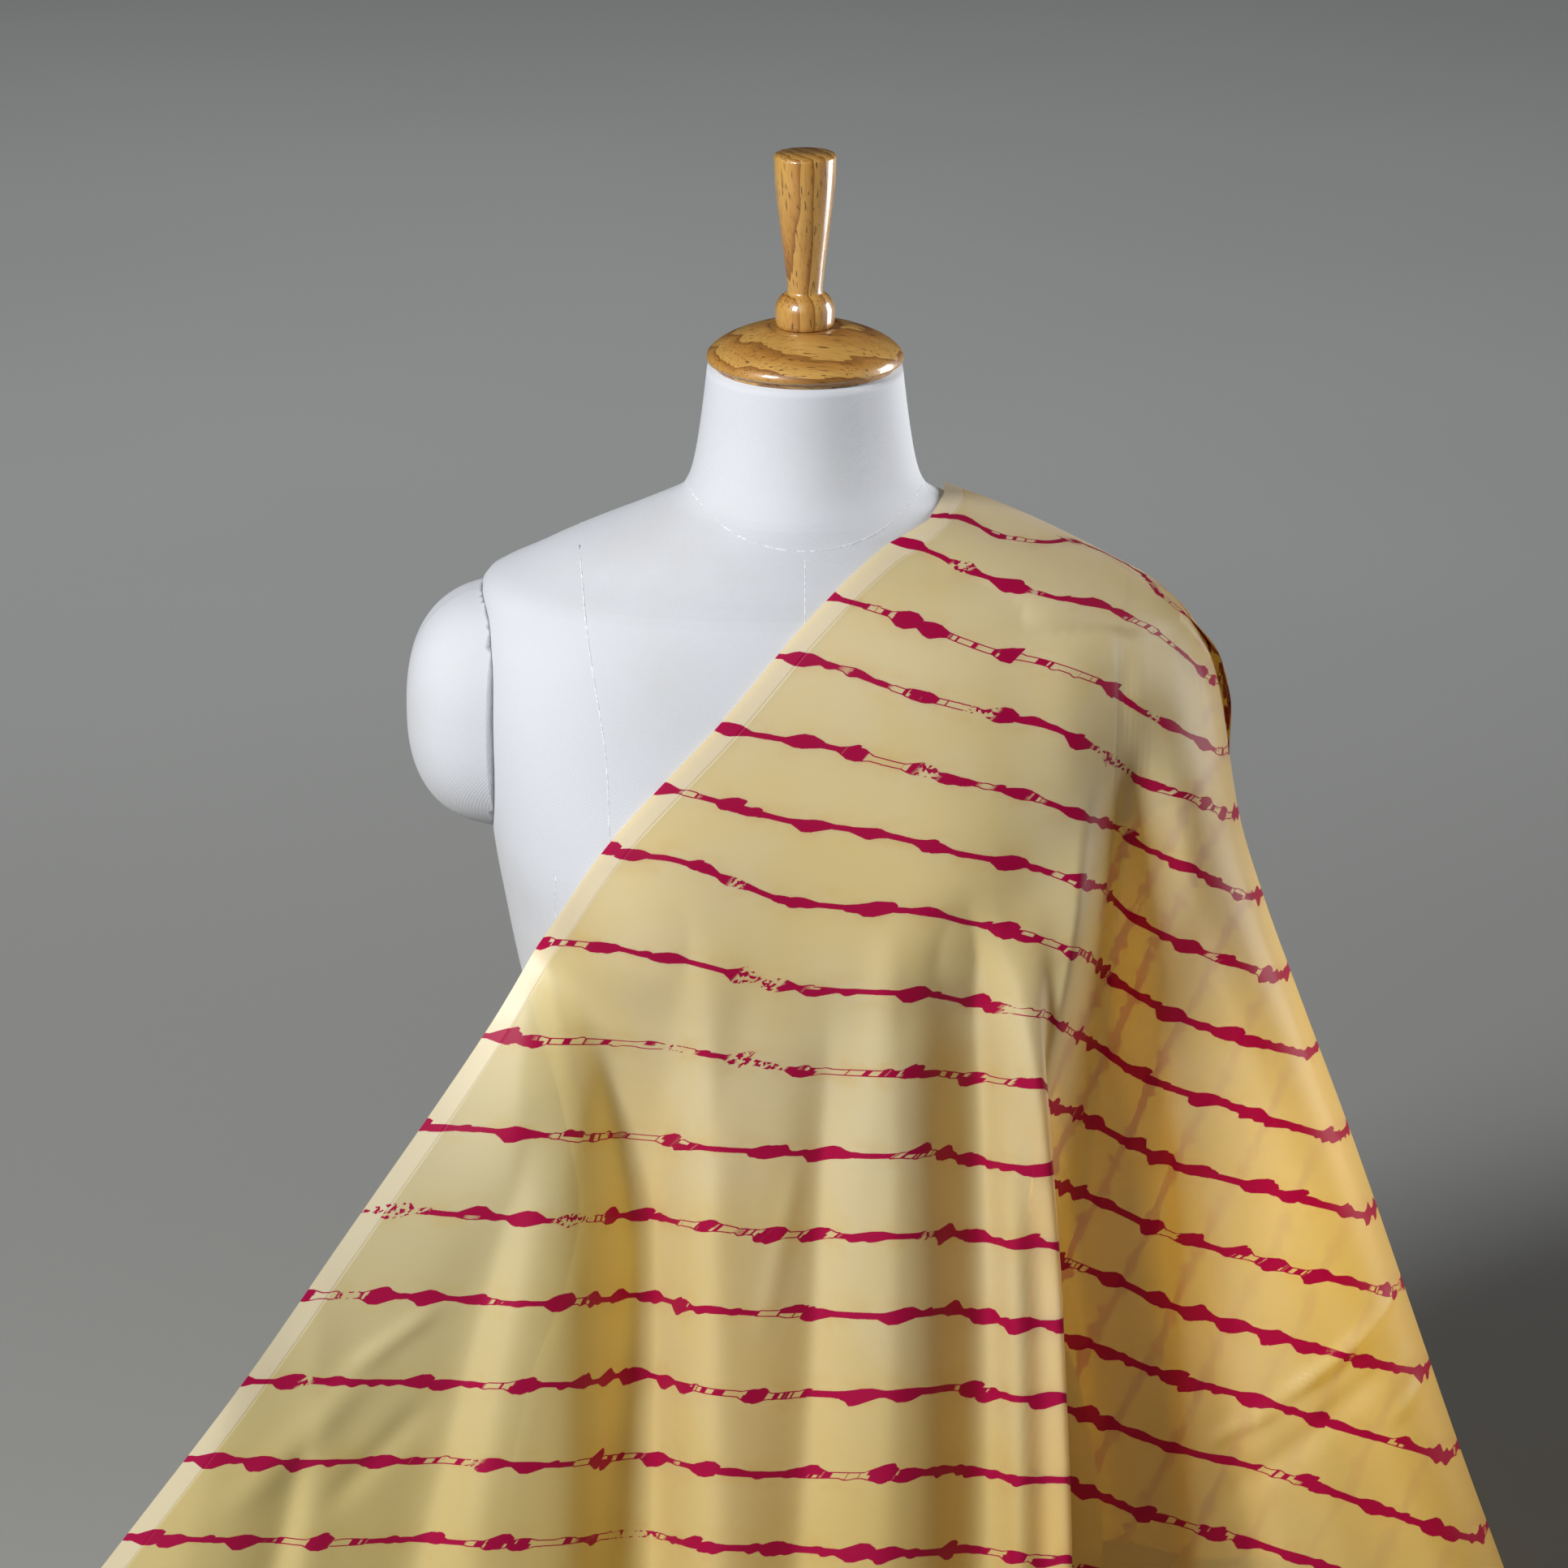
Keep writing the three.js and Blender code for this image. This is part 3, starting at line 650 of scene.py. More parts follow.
def turned_piece(name, profile, bottom, finish, stands_for, around=96):
    turn = full_turn(around)
    rings = [level_ring(r * np.cos(turn), r * np.sin(turn), bottom + z) for r, z in rounded(profile)]
    piece = ring_piece(name, rings, finish)
    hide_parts(stands_for)
    return piece


cap_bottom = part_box("neck_cap")[0][2] / MM
finial_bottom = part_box("finial")[0][2] / MM
cap = turned_piece("turned_cap", CAP_PROFILE, cap_bottom, CAP_WOOD, "neck_cap")
finial = turned_piece("turned_handle", FINIAL_PROFILE, finial_bottom, HANDLE_WOOD, "finial")
print("cap from", round(cap_bottom, 1), "mm, handle from", round(finial_bottom, 1), "mm")

# %% Base board
BOARD = {"thick": 18, "inset": 3, "round": 1.5}


def base_board():
    thick, inset, soften = BOARD["thick"], BOARD["inset"], BOARD["round"]
    rings = []
    for z, more in ((0, soften), (soften, 0), (thick - soften, 0), (thick, soften)):
        ring = body_ring(BODY_SECTIONS[0]["z"], 192, -inset - more)
        ring[:, 2] = z
        rings.append(ring)
    piece = ring_piece("round_board", rings, BOARD_WOOD)
    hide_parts("base_board")
    return piece


board = base_board()
print("board:", len(board.data.polygons), "faces")

# %% [markdown]
# ## The cloth's shape
# The cloth is one length of sheer silk. It starts at the neck, and its woven edge runs in a slant across
# the chest to the surface. On the other side the cloth goes over the shoulder and the arm pad, and hangs
# from there in a soft fold, the spine, which turns it round to the back. Where it touches the form it
# follows the form. Where it hangs free it stands out to a crest. Beside the crest it falls back in a wall
# to the flank, a quieter stretch that runs on to the spine. Below the chest there are soft folds, and one
# pleat laps over itself. All of that is in short tables, in millimetres: a simulation would drape a cloth
# too, but not these folds in these places, so the main folds are listed one by one.

# %% Cloth tables
CLOTH = {"clear": 1.4, "lift": 0.6, "spread": 13, "edge_round": 7, "turn": 34, "bend": 9, "margin": 60,
         "hem_radius": 16, "hem_lay": 40}
ARMHOLE = {"bridge": 34, "deep": 45, "from_x": 95, "over": 50}
HUG = {"soft": 14, "top_z": 450, "fade": 60}
NECK_POINT_Z = 659.6
ARM_CORNER_Z = 568
SELVEDGE = table("z x", [
    (-60, -496), (0, -453), (82, -394), (218, -293), (312, -225), (397, -166), (443, -137), (500, -105),
    (570, -42), (619, 2), (647, 35), (656, 53), (NECK_POINT_Z, 73),
])
BACK_SELVEDGE = table("z x", [
    (-60, 158), (0, 152), (200, 126), (400, 101), (560, 83), (NECK_POINT_Z, 73),
])
SPINE = table("z x", [
    (-60, 418), (0, 400), (120, 357), (302, 294), (388, 262), (435, 245), (481, 231), (515, 225),
    (548, 220), (ARM_CORNER_Z, 215), (584, 207), (597, 197.5), (606.5, 187), (614.5, 172), (632.3, 140),
    (644, 115), (654.2, 89), (NECK_POINT_Z, 73),
])
FRONT_HANG = table("z crest crest_x fall flank lean wall_x wall", [
    (-60, 168, 120, 0.02, 60, 0.14, 144, 20),
    (100, 157, 118, 0.03, 58, 0.15, 145, 20),
    (300, 141, 114, 0.07, 54, 0.16, 147, 18),
    (400, 134, 110, 0.14, 55, 0.12, 151, 16),
    (460, 121, 100, 0.22, 60, 0.1, 153, 14),
    (520, 96, 95, 0.25, 64, 0.18, 156, 14),
    (550, 72, 95, 0.25, 46, 0.6, 160, 16),
    (600, 20, 95, 0.25, 26, 0.95, 158, 20),
    (680, -40, 90, 0.25, -30, 0, 130, 25),
])
BACK_HANG = table("z crest crest_x fall flank lean wall_x wall", [
    (-60, 128, 168, 0.1, 60, 0.3, 210, 70),
    (100, 124, 160, 0.1, 56, 0.32, 195, 65),
    (300, 114, 140, 0.1, 50, 0.36, 170, 60),
    (460, 104, 124, 0.1, 44, 0.4, 150, 50),
    (540, 84, 112, 0.2, 40, 0.3, 140, 40),
    (600, 30, 100, 0.2, 20, 0.1, 130, 40),
    (680, -30, 90, 0.2, -30, 0, 130, 40),
])
FRONT_FOLDS = table("top_x top_z foot_x left right out", [
    (84, 490, 82, 26, 15, -30),
    (108, 470, 112, 14, 14, 6),
    (46, 470, 28, 26, 26, 8),
    (12, 440, -17, 22, 15, -12),
    (-50, 470, -54, 24, 24, 8),
    (-84, 500, -88, 34, 22, -43),
    (-138, 470, -190, 34, 34, 9),
    (-140, 370, -236, 34, 17, -14),
    (-250, 290, -280, 18, 18, 4),
    (-250, 240, -308, 17, 12, -7),
    (-262, 330, -365, 60, 60, 15),
    (192, 400, 216, 30, 11, -8),
    (208, 340, 262, 40, 12, -9),
    (250, 330, 310, 36, 36, 8),
])
BACK_FOLDS = table("top_x top_z foot_x left right out", [
    (110, 520, 176, 20, 20, 8),
    (138, 500, 222, 20, 20, -10),
    (170, 480, 272, 24, 24, 9),
    (196, 420, 326, 24, 24, -9),
])
FOLD = {"start": 110, "power": 1.6, "narrow": 0.6}
GATHER = {"wide": 12, "out": 13, "ripple": 5, "pitch": 2.6, "foot_z": 490, "foot_fade": 60, "top_z": 612,
          "top_fade": 40}
SHOULDER = {"from_x": 112, "least": 50, "square": 1.9, "foot_z": 555, "fade": 60}
PLEAT = table("z x take tight apart", [
    (-60, 128, 4, 18, 8),
    (20, 129, 9, 18, 10),
    (90, 129, 26, 18, 13),
    (250, 126, 22, 17, 12),
    (370, 124, 12, 15, 9),
    (430, 124, 4, 15, 5),
    (480, 122, 0, 15, 0),
    (680, 100, 0, 15, 0),
])

# %% [markdown]
# The finer creases are in a table of their own, with the hollows that the thin sheet draws deeper than
# the frame's solid does. Each runs from one place on the front to another, and is a soft ridge (or a
# trough, where its height is negative) that fades out at both ends.

# %% Fine creases of the front
END_FADE = 0.25
CREASES = table("x z to_x to_z width high", [
    (262, 178, 332, 236, 4, 4.4),
    (228, 150, 256, 170, 3.6, 3),
    (318, 162, 344, 182, 3.6, 2.8),
    (236, 118, 318, 196, 7, -2.8),
    (-240, 220, -198, 250, 5, 2.0),
    (-300, 150, -228, 222, 9, 2.4),
    (-250, 150, -205, 196, 7, -2.2),
    (-120, 330, -84, 470, 9, 1.7),
    (-60, 320, -30, 430, 10, -1.5),
    (-26, 250, -8, 330, 5, 1.2),
    (24, 330, 44, 452, 9, 1.8),
    (166, 380, 167, 530, 14, -9),
    (-97, 60, -94, 390, 19, -22),
    (70, 60, 72, 400, 11, -8),
    (91, 60, 91, 330, 7, 8),
    (104, 60, 104, 330, 10, -17),
    (119, 60, 119, 330, 10, -16),
    (196, 420, 206, 520, 12, 2.2),
])


def crease_depth(x, z):
    total = np.zeros_like(x)
    for crease in CREASES:
        start = np.array([crease["x"], crease["z"]], float)
        run = np.array([crease["to_x"], crease["to_z"]], float) - start
        length = np.hypot(*run)
        ahead = run / length
        along = ((x - start[0]) * ahead[0] + (z - start[1]) * ahead[1]) / length
        aside = (x - start[0]) * -ahead[1] + (z - start[1]) * ahead[0]
        fade = smooth((along + END_FADE) / (2 * END_FADE)) * smooth((1 + END_FADE - along) / (2 * END_FADE))
        total += crease["high"] * fade * np.exp(-((aside / crease["width"]) ** 2))
    return total


# %% [markdown]
# How far the cloth stands in front of (or behind) the middle of the form is worked out at each place. It
# is the further out of the form and the free hang, joined softly, plus the folds. Cloth doesn't bend into
# a hollow that is narrower than its own bend, so it feels the form a little to both sides, and it is taut
# over the armhole. A fold that would reach into the form is held on it. The pleat moves the sheet
# sideways as well, in an S, so that it laps over itself. At the surface the cloth turns outwards and lies
# flat.

# %% Depth of the sheet
selvedge_x = follow(SELVEDGE, "x")
back_selvedge_x = follow(BACK_SELVEDGE, "x")
spine_x = follow(SPINE, "x")
pleat = {name: follow(PLEAT, name) for name in ("x", "take", "tight", "apart")}
CHARTED = {"slope": 0.28, "round": 26, "soft": 14, "top_z": 570, "fade": 80}
FACING_POWER = 2.2
PANELS = dict(zip(("front", "back"), table("edge_x hang folds sign face_from", [
    (selvedge_x, FRONT_HANG, FRONT_FOLDS, -1, -110),
    (back_selvedge_x, BACK_HANG, BACK_FOLDS, 1, 95),
])))


def form_depth(x, z, side):
    clear = CLOTH["clear"]
    level = z - clear
    in_body = np.where(level > NECK_TOP, 0, body_out(x, level, side, clear))
    out = np.maximum(0, x - PAD["x"]) / (PAD["reach"] + clear)
    rise = z - PAD["z"]
    up = np.abs(rise) / (np.where(rise > 0, PAD["above"], PAD["below"]) + clear)
    pad_round = np.maximum(0, 1 - out ** PAD["square"] - up ** PAD["square"]) ** (1 / PAD["square"])
    in_pad = (PAD["deep"] + clear) * pad_round * (x > 0)
    both = smooth(np.minimum(in_body, in_pad) / ARMHOLE["deep"])
    bridge = ARMHOLE["bridge"] * both * smooth((x - ARMHOLE["from_x"]) / ARMHOLE["over"])
    return softer_of(in_body, in_pad, bridge)


def felt_form(x, z, side):
    """The form as the cloth feels it, which rides over a hollow narrower than its own bend."""
    steps = np.linspace(-CLOTH["bend"], CLOTH["bend"], 7)
    return sum(form_depth(x + step, z, side) for step in steps) / len(steps)


def shoulder_depth(x, z, side):
    """The taut sheet from the chest over the armhole to the arm, which it bridges."""
    start = np.minimum(SHOULDER["from_x"], spine_x(z) - SHOULDER["least"])
    share = np.clip((x - start) / (spine_x(z) - start), 0, 1)
    taut = form_depth(start, z, side) * np.sqrt(1 - share ** SHOULDER["square"])
    return np.where(x > start, taut, 0) * smooth((z - SHOULDER["foot_z"]) / SHOULDER["fade"])


def hang_depth(x, z, rows):
    """The free hang: level in front, then a wall to the flank, which runs to the spine and turns there."""
    at = {name: follow(rows, name)(z) for name in rows[0] if name != "z"}
    inward = np.maximum(0, spine_x(z) - x)
    level = at["crest"] - np.maximum(0, at["crest_x"] - x) * at["fall"]
    turned = np.sqrt(1 - (1 - np.clip(inward / CLOTH["turn"], 0, 1)) ** 2)
    flank = (at["flank"] + at["lean"] * inward) * turned
    share = smooth((x - at["wall_x"]) / (2 * at["wall"]) + 0.5)
    return lerp(level, flank, share)


def fold_depth(x, z, folds):
    total = np.zeros_like(x)
    for fold in folds:
        fallen = np.clip((fold["top_z"] - z) / fold["top_z"], 0, 1)
        middle = lerp(fold["top_x"], fold["foot_x"], fallen)
        width = np.where(x < middle, fold["left"], fold["right"]) * lerp(FOLD["narrow"], 1, fallen)
        begun = smooth((fold["top_z"] - z) / FOLD["start"])
        total += fold["out"] * begun * np.exp(-((np.abs(x - middle) / width) ** FOLD["power"]))
    return total


# %% Places of the sheet
def sheet_plan(across, down, side):
    """Where points lie seen from the front: across runs from the edge (0) to the spine (1), and down from
    the shoulder (0) to the hem (1)."""
    panel = PANELS[side]
    hem_z = -CLOTH["hem_lay"]
    edge_z = lerp(NECK_POINT_Z, hem_z, down)
    spine_z = lerp(ARM_CORNER_Z, hem_z, down)
    ridge_z = lerp(NECK_POINT_Z, ARM_CORNER_Z, across)
    top = (spine_x(NECK_POINT_Z), spine_x(ARM_CORNER_Z))
    foot = (panel["edge_x"](hem_z), spine_x(hem_z))

    def patch(edge, spine, above, below, top, foot):
        corners = lerp(lerp(top[0], top[1], across), lerp(foot[0], foot[1], across), down)
        return lerp(edge, spine, across) + lerp(above, below, down) - corners

    x = patch(panel["edge_x"](edge_z), spine_x(spine_z), spine_x(ridge_z), lerp(*foot, across), top, foot)
    z = patch(edge_z, spine_z, ridge_z, hem_z, (NECK_POINT_Z, ARM_CORNER_Z), (hem_z, hem_z))
    return x, z


def cloth_places(across, down, side):
    """Points of the sheet, and the place that each of them has in the stripes' chart."""
    panel = PANELS[side]
    x, z = sheet_plan(across, down, side)
    flat_x, flat_z = x, z
    form = felt_form(x, z, side)
    held = np.maximum(form, shoulder_depth(x, z, side))
    depth = softer_of(held, hang_depth(x, z, panel["hang"]), CLOTH["spread"])
    depth += fold_depth(x, z, panel["folds"])
    if side == "front":
        depth += crease_depth(x, z)
        along = (x - pleat["x"](z)) / pleat["tight"](z)
        swing = 2 * along / (1 + along ** 2)
        to_spine, to_edge = spine_x(z) - x, x - panel["edge_x"](z)
        fade = smooth(to_spine / CLOTH["margin"]) * smooth(to_edge / CLOTH["margin"])
        x = x - pleat["take"](z) * swing * fade
        depth -= pleat["apart"](z) * swing * fade
    else:
        inward = np.maximum(0, spine_x(z) - x) / GATHER["wide"]
        above = smooth((z - GATHER["foot_z"]) / GATHER["foot_fade"])
        window = above * smooth((GATHER["top_z"] - z) / GATHER["top_fade"])
        x = x + GATHER["out"] * window * inward * np.exp(1 - inward)
        depth += GATHER["ripple"] * window * np.sin(inward * GATHER["pitch"]) * smooth(inward)
    held_on = HUG["soft"] * smooth((HUG["top_z"] - z) / HUG["fade"])
    depth = softer_of(depth, form_depth(x, z, side), held_on)
    if side == "front":
        flat_z = charted_height(flat_x, z, depth, form)
    inward = np.clip((spine_x(z) - x) / CLOTH["edge_round"], 0, 1)
    depth *= np.sqrt(1 - (1 - inward) ** 2)
    facing = np.radians(panel["face_from"] * (1 - across ** FACING_POWER))
    laid = laid_out(x, panel["sign"] * depth, z, facing)
    return laid, np.stack([flat_x, flat_z], -1)


def charted_height(x, z, depth, form):
    """The chart is drawn for a plain hang seen from a little above. Where the cloth stands further out than
    that its stripes look lower, so they are set as much higher, and the other way round in a hollow."""
    turned = np.sqrt(2 * CHARTED["round"] * np.maximum(0, spine_x(z) - x))
    plain = -softer_of(-turned, -follow(FRONT_HANG, "crest")(z), CHARTED["soft"])
    share = smooth((CHARTED["top_z"] - z) / CHARTED["fade"])
    return z - CHARTED["slope"] * (depth - np.maximum(plain, form)) * share


def laid_out(x, y, z, facing):
    """Below the hem's bend the sheet turns the way that it faces, and lies flat."""
    radius = CLOTH["hem_radius"]
    past = np.maximum(0, radius - z)
    bend = np.minimum(past / radius, math.pi / 2)
    out = radius * (1 - np.cos(bend)) + np.maximum(0, past - radius * math.pi / 2)
    height = np.where(z >= radius, z, radius * (1 - np.sin(bend)))
    return np.stack([x + out * np.cos(facing), y + out * np.sin(facing), height + CLOTH["lift"]], -1)


# %% [markdown]
# ## The stripes' chart
# Leheriya stripes are dyed by rolling the cloth on the slant and binding it tight with thread, so on the
# flat cloth they are straight and even, and on the form they bend with the drape. The chart says how high
# every third stripe crosses the front at a few places across it. A place between two of them gets a
# number between theirs, and a whole number is the middle of a stripe. Behind the spine the stripes go on
# at the angle that the turned-over cloth has, and over the shoulder they run into the same count.

# %% Stripe chart, in millimetres
LINES = (-1, 0, 1, 3, 6, 9, 12, 15)
CHART = table("x l-1 l0 l1 l3 l6 l9 l12 l15", [
    (-450, 795, 750, 706, 620, 508, 358, 222, 90),
    (-250, 790, 745, 700, 612, 506, 356, 217, 86),
    (-75, 765, 725, 684, 606, 500, 344, 212, 82),
    (0, 735, 700, 666, 600, 476, 336, 205, 76),
    (60, 668, 660, 650, 581, 472, 333, 205, 72),
    (80, 665, 655, 640, 575, 466, 325, 200, 69),
    (100, 657, 647, 632, 570, 460, 323, 197, 66),
    (125, 648, 638, 624, 564, 448, 319, 197, 64),
    (150, 638, 629, 617, 550, 429, 305, 185, 56),
    (175, 624, 615, 604, 523, 405, 289, 171, 45),
    (200, 604, 594, 581, 507, 389, 272, 156, 30),
    (225, 575, 562, 547, 487, 377, 261, 146, 20),
    (250, 545, 531, 516, 468, 364, 251, 137, 12),
    (300, 520, 500, 480, 432, 335, 228, 114, -8),
    (400, 450, 425, 402, 355, 262, 163, 55, -62),
])
BEHIND = {"angle": 69.5, "steps": 400, "measured": 60, "start": 15, "fade": 130}


def front_count(x, z):
    heights = [follow(CHART, f"l{line}", by="x")(x) for line in LINES]
    count = np.zeros_like(z)
    for k in range(len(LINES) - 1):
        high, low = heights[k], heights[k + 1]
        share = (high - z) / (high - low)
        value = LINES[k] + share * (LINES[k + 1] - LINES[k])
        inside = (share >= 0) if k else np.full(z.shape, True)
        count = np.where(inside, value, count)
    return count


def back_count(x, z):
    """The stripes behind the spine, from where each of them left it."""
    slant = math.tan(math.radians(BEHIND["angle"]))
    ends_z = np.linspace(-CLOTH["hem_lay"], NECK_POINT_Z, BEHIND["steps"])
    ends_x = spine_x(ends_z)
    level = ends_z - ends_x * slant
    count = front_count(ends_x, ends_z)
    own = z - x * slant
    met = np.interp(own, level, count)
    corner = np.searchsorted(ends_z, ARM_CORNER_Z)
    lower = corner - BEHIND["measured"]
    per_mm = (count[corner] - count[lower]) / (level[corner] - level[lower])
    carried = count[corner] + (own - level[corner]) * per_mm
    order = np.argsort(ends_x[corner:])
    ridge = np.interp(x, ends_x[corner:][order], ends_z[corner:][order])
    over = front_count(x, 2 * ridge - z)
    behind = smooth((ridge - z - BEHIND["start"]) / BEHIND["fade"])
    aside = (own - level[corner]) / np.hypot(1, slant)
    near_ridge = smooth(aside / np.maximum(0.001, aside + ridge - z))
    return np.where(own > level[corner], lerp(carried, over, near_ridge * (1 - behind)), met)


print("stripes across the chest:", round(float(front_count(np.array([0.0]), np.array([40.0]))[0])))

# %% [markdown]
# ## Building the sheet
# The sheet is two grids sewn together: the front, and the back with half as many columns. They share the
# shoulder's row and the spine's column, so that it is one piece of cloth. Each point also keeps four
# numbers for the dye: how far it is from the edge along its row, its count in the chart, how far apart
# the stripes are there, and its distance from the woven edge.

# %% Cloth sheet
GRID = {"rows": 250, "front": 232, "back": 116, "crowd": 1.12, "back_crowd": 1.25, "settle": 5}
DENSER = table("at wide more", [(0.685, 0.045, 3.2), (1, 0.05, 0.8)])
GAP_LIMITS = (16, 80)


def pleat_stations(columns):
    """Columns across the hem, closer together at the pleat and at the spine."""
    even = np.linspace(0, 1, 2001)
    weight = 1 + sum(row["more"] * np.exp(-(((even - row["at"]) / row["wide"]) ** 2)) for row in DENSER)
    total = np.concatenate(([0], np.cumsum(weight[1:])))
    return np.interp(np.linspace(0, total[-1], columns + 1), total, even)


def run_lengths(grid):
    steps = np.linalg.norm(np.diff(grid, axis=1), axis=2)
    return np.concatenate((np.zeros((len(grid), 1)), np.cumsum(steps, axis=1)), axis=1)


def stripe_gap(grid, count):
    """How far apart the stripes are at every point, measured on the cloth itself."""
    down_step, side_step = np.gradient(grid, axis=(0, 1))
    down_count, side_count = np.gradient(count)
    a, b, c = (down_step ** 2).sum(-1), (down_step * side_step).sum(-1), (side_step ** 2).sum(-1)
    steep = c * down_count ** 2 - 2 * b * down_count * side_count + a * side_count ** 2
    steep /= np.maximum(a * c - b * b, TINY)
    return np.clip(1 / np.sqrt(np.maximum(steep, TINY)), *GAP_LIMITS)


def from_edge(grid):
    """Distance of every point from its own woven edge, looked for among the edge's places near it."""
    edge = grid[:, 0]
    line = np.concatenate([lerp(edge[:-1], edge[1:], f) for f in (0, 0.25, 0.5, 0.75)])
    near = []
    for row, (_, _, height) in zip(grid, edge):
        close = line[np.abs(line[:, 2] - height) < 60]
        near.append(np.min(np.linalg.norm(row[:, None] - close[None], axis=2), axis=1))
    return np.array(near)


def sheet_grid(side, down, stations):
    """A panel's points. Its columns are even at the shoulder, and at the given stations further down."""
    even = np.arange(len(stations)) / (len(stations) - 1)
    across = lerp(even[None, :], stations[None, :], smooth(down * GRID["settle"])[:, None])
    return cloth_places(across, np.repeat(down[:, None], len(stations), 1), side)


def cloth_sheet():
    rows, columns, behind = GRID["rows"], GRID["front"], GRID["back"]
    down = (np.arange(rows + 1) / rows) ** GRID["crowd"]
    front, front_flat = sheet_grid("front", down, pleat_stations(columns))
    crowded = 1 - (1 - np.arange(behind + 1) / behind) ** GRID["back_crowd"]
    back, back_flat = sheet_grid("back", down, crowded)
    back[0] = front[0, ::2]
    back[:, -1] = front[:, -1]

    along, back_run = run_lengths(front), run_lengths(back)
    back_along = along[:, -1:] + (back_run[:, -1:] - back_run)
    count = front_count(front_flat[:, :, 0], front_flat[:, :, 1])
    turned = back_count(back_flat[:, :, 0], back_flat[:, :, 1])

    def sewn(on_front, on_back, size):
        """The front's values, then the back's without the row and the column that they share."""
        return np.concatenate([on_front.reshape(-1, size), on_back[1:, :-1].reshape(-1, size)])

    points = sewn(front, back, 3)
    values = {
        "along": sewn(along, back_along, 1) * MM,
        "stripe": sewn(count, turned, 1),
        "edge": sewn(from_edge(front), from_edge(back), 1) * MM,
        "gap": sewn(stripe_gap(front, count), stripe_gap(back, turned), 1) * MM,
    }
    return points, sheet_faces(rows, columns, behind), values


def sheet_faces(rows, columns, behind):
    wide = columns + 1

    def behind_at(r, j):
        """The number of a point of the back, or of the front's point on the spine."""
        return r * wide + columns if j == behind else (rows + 1) * wide + (r - 1) * behind + j

    faces = []
    for r in range(rows):
        for j in range(columns):
            a = r * wide + j
            faces.append((a, a + wide, a + wide + 1, a + 1))
        for j in range(behind):
            low = (behind_at(r + 1, j + 1), behind_at(r + 1, j))
            if r == 0:
                faces.append((2 * j, 2 * j + 1, 2 * j + 2, *low))
            else:
                faces.append((behind_at(r, j), behind_at(r, j + 1), *low))
    return faces


# %% [markdown]
# ### Dyed silk
# The cloth is a fine sheer silk in a warm yellow. Its left part is painted greyer and darker, a painted shade,
# and towards the surface it is painted a deeper gold, a painted glow of light shining through it.
# Three things happen to light in it: some is scattered back by the threads, some glows through to the
# other side, and some passes straight between the threads, so that the form shows through. A layer over
# another layer of itself looks deeper and more golden for that reason. The three are mixed in that order.
#
# The crimson of the stripes is drawn by the chart's numbers. A stripe is a thin line that wavers. Where a
# thread was bound round the roll it swells into a small diamond, where the dye did not reach the middle
# it is hollow, and where it hardly took it breaks into dots.

# %% Stripe of dye
DYE = {"half": 1.45 * MM, "more": 0.45 * MM, "waver": 5.5 * MM, "rail": 1.9 * MM, "ragged": 0.9 * MM,
       "slim": 2.9 * MM, "halo": 14 * MM, "right": (0.30, 0.40),
       "knots": {"every": 31 * MM, "tall": 4.2 * MM, "long": 7.6 * MM, "rare": 0.9},
       "beads": {"every": 13 * MM, "tall": 1.5 * MM, "long": 3.2 * MM, "rare": 2.2}}


def knots(net, along, seed, every, tall, long, rare):
    """Swellings along a stripe: how much each adds above the line and below it. Their tops are blunt."""
    turns = along * (1 / every) + seed
    cell = net.put("TexVoronoi", {"W": turns, "Scale": 1.0}, voronoi_dimensions="1D").outputs
    near = net.number("Clamp", {"Value": Value(net, cell["Distance"]) * (-every / long) + 1.3})
    sizes = net.put("SeparateColor", {"Color": cell["Color"]}).outputs
    return [near * (net.sums("POWER", sizes[k], rare) * tall) for k in (0, 1)]


def stripe_of_dye(net):
    """How much crimson there is (0 or 1, with a soft edge), and how near a stripe is."""
    along, count, gap = (net.point_value(name) for name in ("along", "stripe", "gap"))
    line = net.sums("ROUND", count)
    seed = line * 7.31
    waver = net.noise(net.along_line(along, seed), 14.0, 3.0, 0.44)
    off = (count - line) * gap + (waver - 0.5) * DYE["waver"]
    away, below = net.sums("ABSOLUTE", off), net.sums("GREATER_THAN", off, 0.0)

    right = net.between(along, *DYE["right"])
    zone = net.noise(net.along_line(along, seed, 5.0), 17.0, 1.0)
    hollow = net.between(zone - right * 0.09, 0.53, 0.55)
    halves = [right * DYE["more"] + DYE["half"]] * 2
    for name, extra in (("knots", 0.0), ("beads", 3.3)):
        added = knots(net, along, seed + extra, **DYE[name])
        halves = [half + more for half, more in zip(halves, added)]
    ragged = net.noise(net.along_line(along, count), 800.0, 2.0)
    half = halves[0] + below * (halves[1] - halves[0]) + (ragged - 0.5) * DYE["ragged"]
    half = net.sums("MAXIMUM", half, hollow * DYE["rail"])
    inside = half - away
    solid = net.between(inside, -0.1 * MM, 0.12 * MM)

    bars = net.between(net.noise(net.along_line(along, seed, 9.0), 190.0, 1.0), 0.53, 0.56)
    core = net.between(inside, 0.55 * MM, 0.75 * MM)
    slim = net.sums("LESS_THAN", half, DYE["slim"])
    solid = solid * (1.0 - core * hollow * slim * (1.0 - bars))

    patches = net.noise(net.along_line(along, seed, 15.0), 22.0, 1.0)
    weak = net.between(patches - right * 0.1, 0.62, 0.65)
    flecks = net.between(net.noise(net.along_line(along, off), 330.0, 2.0), 0.47, 0.5)
    halo = net.between(away, DYE["halo"], 1.5 * MM)
    return solid * (1.0 - weak * flecks), halo


# %% Silk finish
SILK = {"clear": 0.21, "glow": 0.34, "edge_strip": 10.5 * MM, "twill": 1.0 * MM, "slant": 58.0}


